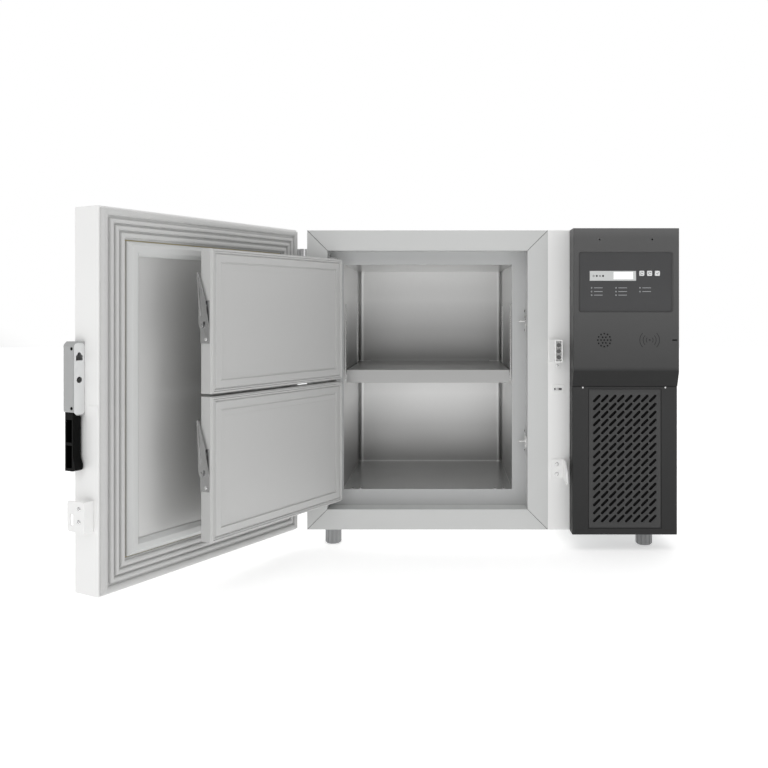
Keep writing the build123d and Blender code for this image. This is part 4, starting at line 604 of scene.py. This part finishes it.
# Handle: pale plate over the mouth, with the key slot and the round hole
mouth = {"box": (627.2, 652.0, 409.0, 551.0), "corner": 7.0, "steps": 5, "front": -49.4, "thick": 0.8,
         "edge": 0.25, "hole": (639.8, 478.0, 13.2, 13.2)}
keySlot = {"middle": (639.8, 522.5), "half": 8.0, "reach": 6.0, "shoulder": 3.0, "bow": 4.5, "steps": 6}
left, right, low, high = mouth["box"]
corner, steps = mouth["corner"], mouth["steps"]
outline = []
for i, (x, z) in enumerate(((right - corner, high - corner), (left + corner, high - corner),
                            (left + corner, low + corner), (right - corner, low + corner))):
    for j in range(steps + 1):
        angle = pi / 2 * (i + j / steps)
        outline.append((x + corner * cos(angle), z + corner * sin(angle)))
x, z = keySlot["middle"]
half, reach, shoulder, bow = keySlot["half"], keySlot["reach"], keySlot["shoulder"], keySlot["bow"]
keyway = [(x - half, z - reach), (x + half, z - reach), (x + half, z + shoulder)]
for j in range(keySlot["steps"] + 1):
    angle = pi * j / keySlot["steps"]
    keyway.append((x + bow * cos(angle), z + reach + bow * sin(angle)))
keyway.append((x - half, z + shoulder))
flatPlate("mouthPlate", [outline, keyway, pill(*mouth["hole"], 0)], mouth["front"], mouth["thick"],
          mouth["edge"], mainDoor, "main_door", "castFront")

# Latch levers: a pressed rib from the hub to the tip, narrower towards its upper end
rib = {"middle": (560.8, 22.4), "rise": 208.0, "size": (1.4, 3.6, 82.0), "taper": 0.55, "lean": 5.4,
       "edge": 0.5, "segments": 2}
for level, foot in innerFeet.items():
    body = level + "_latch"
    shape = bmesh.new()
    made = bmesh.ops.create_cube(shape, size=1, matrix=Matrix.Diagonal((*rib["size"], 1)))["verts"]
    bmesh.ops.scale(shape, vec=(1, rib["taper"], 1), verts=[v for v in made if v.co.z > 0])
    bevelled(shape, shape.edges[:], rib["edge"], rib["segments"])
    spot = Matrix.Translation((*rib["middle"], foot + rib["rise"]))
    lean = Matrix.Rotation(radians(rib["lean"]), 4, "X")
    keep(body + "Rib", shape, innerDoor @ spot @ lean, body, "latch")

# Flat marks, plain generic signs and a few dark patches of painted shade: the ink's thickness and the faces
# that carry it
marks = {"thick": 0.12, "panel": -62.55, "hood": -66.05, "steps": 12}


def barMark(shape, x, z, width, height, front, turn=0):
    # flat bar that faces the front
    bmesh.ops.create_grid(shape, x_segments=1, y_segments=1, size=0.5)
    settle(shape, facing((x, front, z), "front", turn) @ Matrix.Diagonal((width, height, 1, 1)))


def arcMark(shape, x, z, radius, width, front, start=0, sweep=360):
    # flat arc that faces the front, spun from one short bar
    bar = ((radius - width / 2, 0), (radius + width / 2, 0))
    spun(shape, bar, marks["steps"], facing((x, front, z), "front", start), sweep)


def printed(name, shape, body, finish):
    # ink, and painted shade, with a little thickness, so that the flat marks are closed shapes
    grown = bmesh.ops.extrude_face_region(shape, geom=shape.faces[:])["geom"]
    moved = [g for g in grown if isinstance(g, bmesh.types.BMVert)]
    bmesh.ops.translate(shape, vec=(0, -marks["thick"], 0), verts=moved)
    keep(name, shape, cabinet, body, finish)


# Keys: two open rings with a tail, and a tick. The arc is the start and sweep of a ring, and each bar has
# its shift to the right and up, its width, height and turn
keys = {"front": -63.5, "level": 710.1, "ring": (3.2, 0.9), "arc": (40, 280)}
keySigns = {
    "left_key": (860.3, True, ((2.6, 2.2, 2.4, 0.9, 65),)),
    "middle_key": (880.1, True, ((2.6, 2.2, 2.4, 0.9, 20),)),
    "right_key": (899.9, False, ((-1.6, -0.8, 0.9, 3.2, 40), (1.2, 0.3, 0.9, 6.0, -35))),
}
for body, (x, ringed, bars) in keySigns.items():
    shape = bmesh.new()
    if ringed:
        arcMark(shape, x, keys["level"], *keys["ring"], keys["front"], *keys["arc"])
    for right, rise, width, height, turn in bars:
        barMark(shape, x + right, keys["level"] + rise, width, height, keys["front"], turn)
    printed(body + "Mark", shape, body, "print")

# Mitred joints between the rails of the door frame
railJoint = {"size": (74.0, 0.9), "front": 0.06,
             "places": ((26.5, 69.5, 45), (602.5, 69.5, -45), (26.5, 798.5, -45), (602.5, 798.5, 45))}
shape = bmesh.new()
for x, z, turn in railJoint["places"]:
    barMark(shape, x, z, *railJoint["size"], railJoint["front"], turn)
printed("railJoints", shape, "cabinet", "joint")

# Switch plate: a dark bar of painted shade for its slot, and the bright tongue in it
switchMarks = {
    "switchSlot": (655.5, 410.5, 19.6, 5.4, -0.06, "joint"),
    "switchTongue": (653.0, 410.5, 8.0, 3.2, -0.2, "screw"),
}
for name, (*bar, finish) in switchMarks.items():
    shape = bmesh.new()
    barMark(shape, *bar)
    printed(name, shape, "cabinet", finish)

# Painted shade: a dark disc just inside each rim of the striker's window, for the shade in its depth
shape = bmesh.new()
for z in lobes:
    arcMark(shape, window["middle"][0], z, *window["floor"], window["shadeFront"])
printed("strikerWindowShade", shape, "cabinet", "joint")

# Screen: a lit field, and a row of blocks and rings
screen = {"field": (813.5, 704.3, 49.5, 18.5), "front": -61.95, "columns": (738, 746, 754, 762), "row": 703.5,
          "block": (4.2, 4.6), "ring": (2.0, 1.0)}
shape = bmesh.new()
barMark(shape, *screen["field"], screen["front"])
printed("screenField", shape, "cabinet", "lit")
shape = bmesh.new()
for i, x in enumerate(screen["columns"]):
    if i % 2:
        barMark(shape, x, screen["row"], *screen["block"], screen["front"])
    else:
        arcMark(shape, x, screen["row"], *screen["ring"], screen["front"])
printed("screenSigns", shape, "cabinet", "print")

# Columns of lamps on the panel, each with the number of its rows, and a bar for the word beside each lamp
lamps = {"columns": ((732.7, 3), (794.7, 3), (855.6, 2)), "rows": (673.2, 663.8, 654.7), "dot": (1.3, 1.0),
         "start": 6.0, "bar": (22.0, 1.3)}
shape = bmesh.new()
for x, count in lamps["columns"]:
    for z in lamps["rows"][:count]:
        arcMark(shape, x, z, *lamps["dot"], marks["panel"])
        barMark(shape, x + lamps["start"] + lamps["bar"][0] / 2, z, *lamps["bar"], marks["panel"])
printed("panelSigns", shape, "cabinet", "lightPrint")

# Card reader's sign of waves to both sides of a dot, and the rims of the speaker's holes
reader = {"middle": (879.4, 540.5), "dot": (1.6, 1.6), "radii": (8.7, 16.5, 25.0), "width": 1.5,
          "starts": (-45, 135), "sweep": 90}
shape = bmesh.new()
arcMark(shape, *reader["middle"], *reader["dot"], marks["hood"])
for radius in reader["radii"]:
    for start in reader["starts"]:
        arcMark(shape, *reader["middle"], radius, reader["width"], marks["hood"], start, reader["sweep"])
printed("readerSign", shape, "cabinet", "print")
sound = {"middle": (764.4, 540.5), "pitch": 8.2, "rings": 2, "rim": (1.95, 0.9)}
shape = bmesh.new()
for i in range(sound["rings"] + 1):
    count = max(6 * i, 1)
    for j in range(count):
        angle = 2 * pi * j / count
        x = sound["middle"][0] + sound["pitch"] * i * cos(angle)
        z = sound["middle"][1] + sound["pitch"] * i * sin(angle)
        arcMark(shape, x, z, *sound["rim"], marks["hood"])
printed("soundRims", shape, "cabinet", "print")
print("printed marks made")

# Camera at the photograph's viewing point
view = {"eye": (355, -2293, 617), "lens": 41.14, "sensor": 36, "shift": (-0.0768, -0.0964)}
cameraData = bpy.data.cameras.new("camera")
cameraData.lens = view["lens"]
cameraData.sensor_width = view["sensor"]
cameraData.shift_x, cameraData.shift_y = view["shift"]
camera = setOut("camera", cameraData)
camera.location = cabinet @ Vector(view["eye"])
camera.rotation_euler = (pi / 2, 0, 0)
bpy.context.scene.camera = camera

# Soft studio: each lamp's place, aim, width in metres and power in watts
softLamps = {
    "keyLamp": ((-1.4, -3.2, 3.0), (0.2, 0, 0.4), 2.8, 20),
    "fillLamp": ((2.8, -2.4, 1.8), (0.3, 0, 0.4), 2.4, 7),
    "topLamp": ((0.1, -0.6, 3.6), (0.1, 0, 0.4), 3.2, 16),
}
for name, (spot, aim, width, power) in softLamps.items():
    lampData = bpy.data.lights.new(name, "AREA")
    lampData.energy = power
    lampData.size = width
    lamp = setOut(name, lampData)
    lamp.location = spot
    lamp.rotation_euler = (Vector(aim) - Vector(spot)).to_track_quat("-Z", "Y").to_euler()

# The room is pale behind the freezer and overhead, and greyer behind the photographer
studio = {"floor": 12, "cloud": 0.4, "glow": 0.42,
          "sky": ((0.0, (0.3, 0.3, 0.3)), (0.3, (0.5, 0.5, 0.5)), (0.9, (0.62, 0.62, 0.62)),
                  (0.94, (1, 1, 1)))}
world = bpy.data.worlds.new("studioWorld")
world.use_nodes = True
bpy.context.scene.world = world
room = Nodes(world.node_tree)
look = room.add("ShaderNodeTexCoord", output="Generated")
across = room.add("ShaderNodeSeparateXYZ", inputs={"Vector": look}, output="Y")
up = room.add("ShaderNodeSeparateXYZ", inputs={"Vector": look}, output="Z")
tone = room.add("ShaderNodeValToRGB", {"stops": studio["sky"]}, {"Fac": 0.5 + 0.5 * across + 0.35 * up})
room.tree.links.new(tone.socket, room.tree.nodes["Background"].inputs["Color"])
bpy.context.scene.view_settings.view_transform = "Standard"

# White paper under the freezer, glowing a little so that it is as pale as the photograph's ground
shape = bmesh.new()
bmesh.ops.create_grid(shape, x_segments=1, y_segments=1, size=studio["floor"])
floorMesh = bpy.data.meshes.new("studioFloor")
shape.to_mesh(floorMesh)
shape.free()
floor = setOut("studioFloor", floorMesh)
paper = Finish("floorPaper", Roughness=0.7, Emission_Color=(1, 1, 1, 1), Emission_Strength=studio["glow"])
cloud = paper.noise(studio["cloud"], 2)
paper.feed("Base Color", paper.blend(cloud, shade(248, 248, 248), shade(252, 252, 252)))
floorMesh.materials.append(paper.material)
print("studio and camera set")
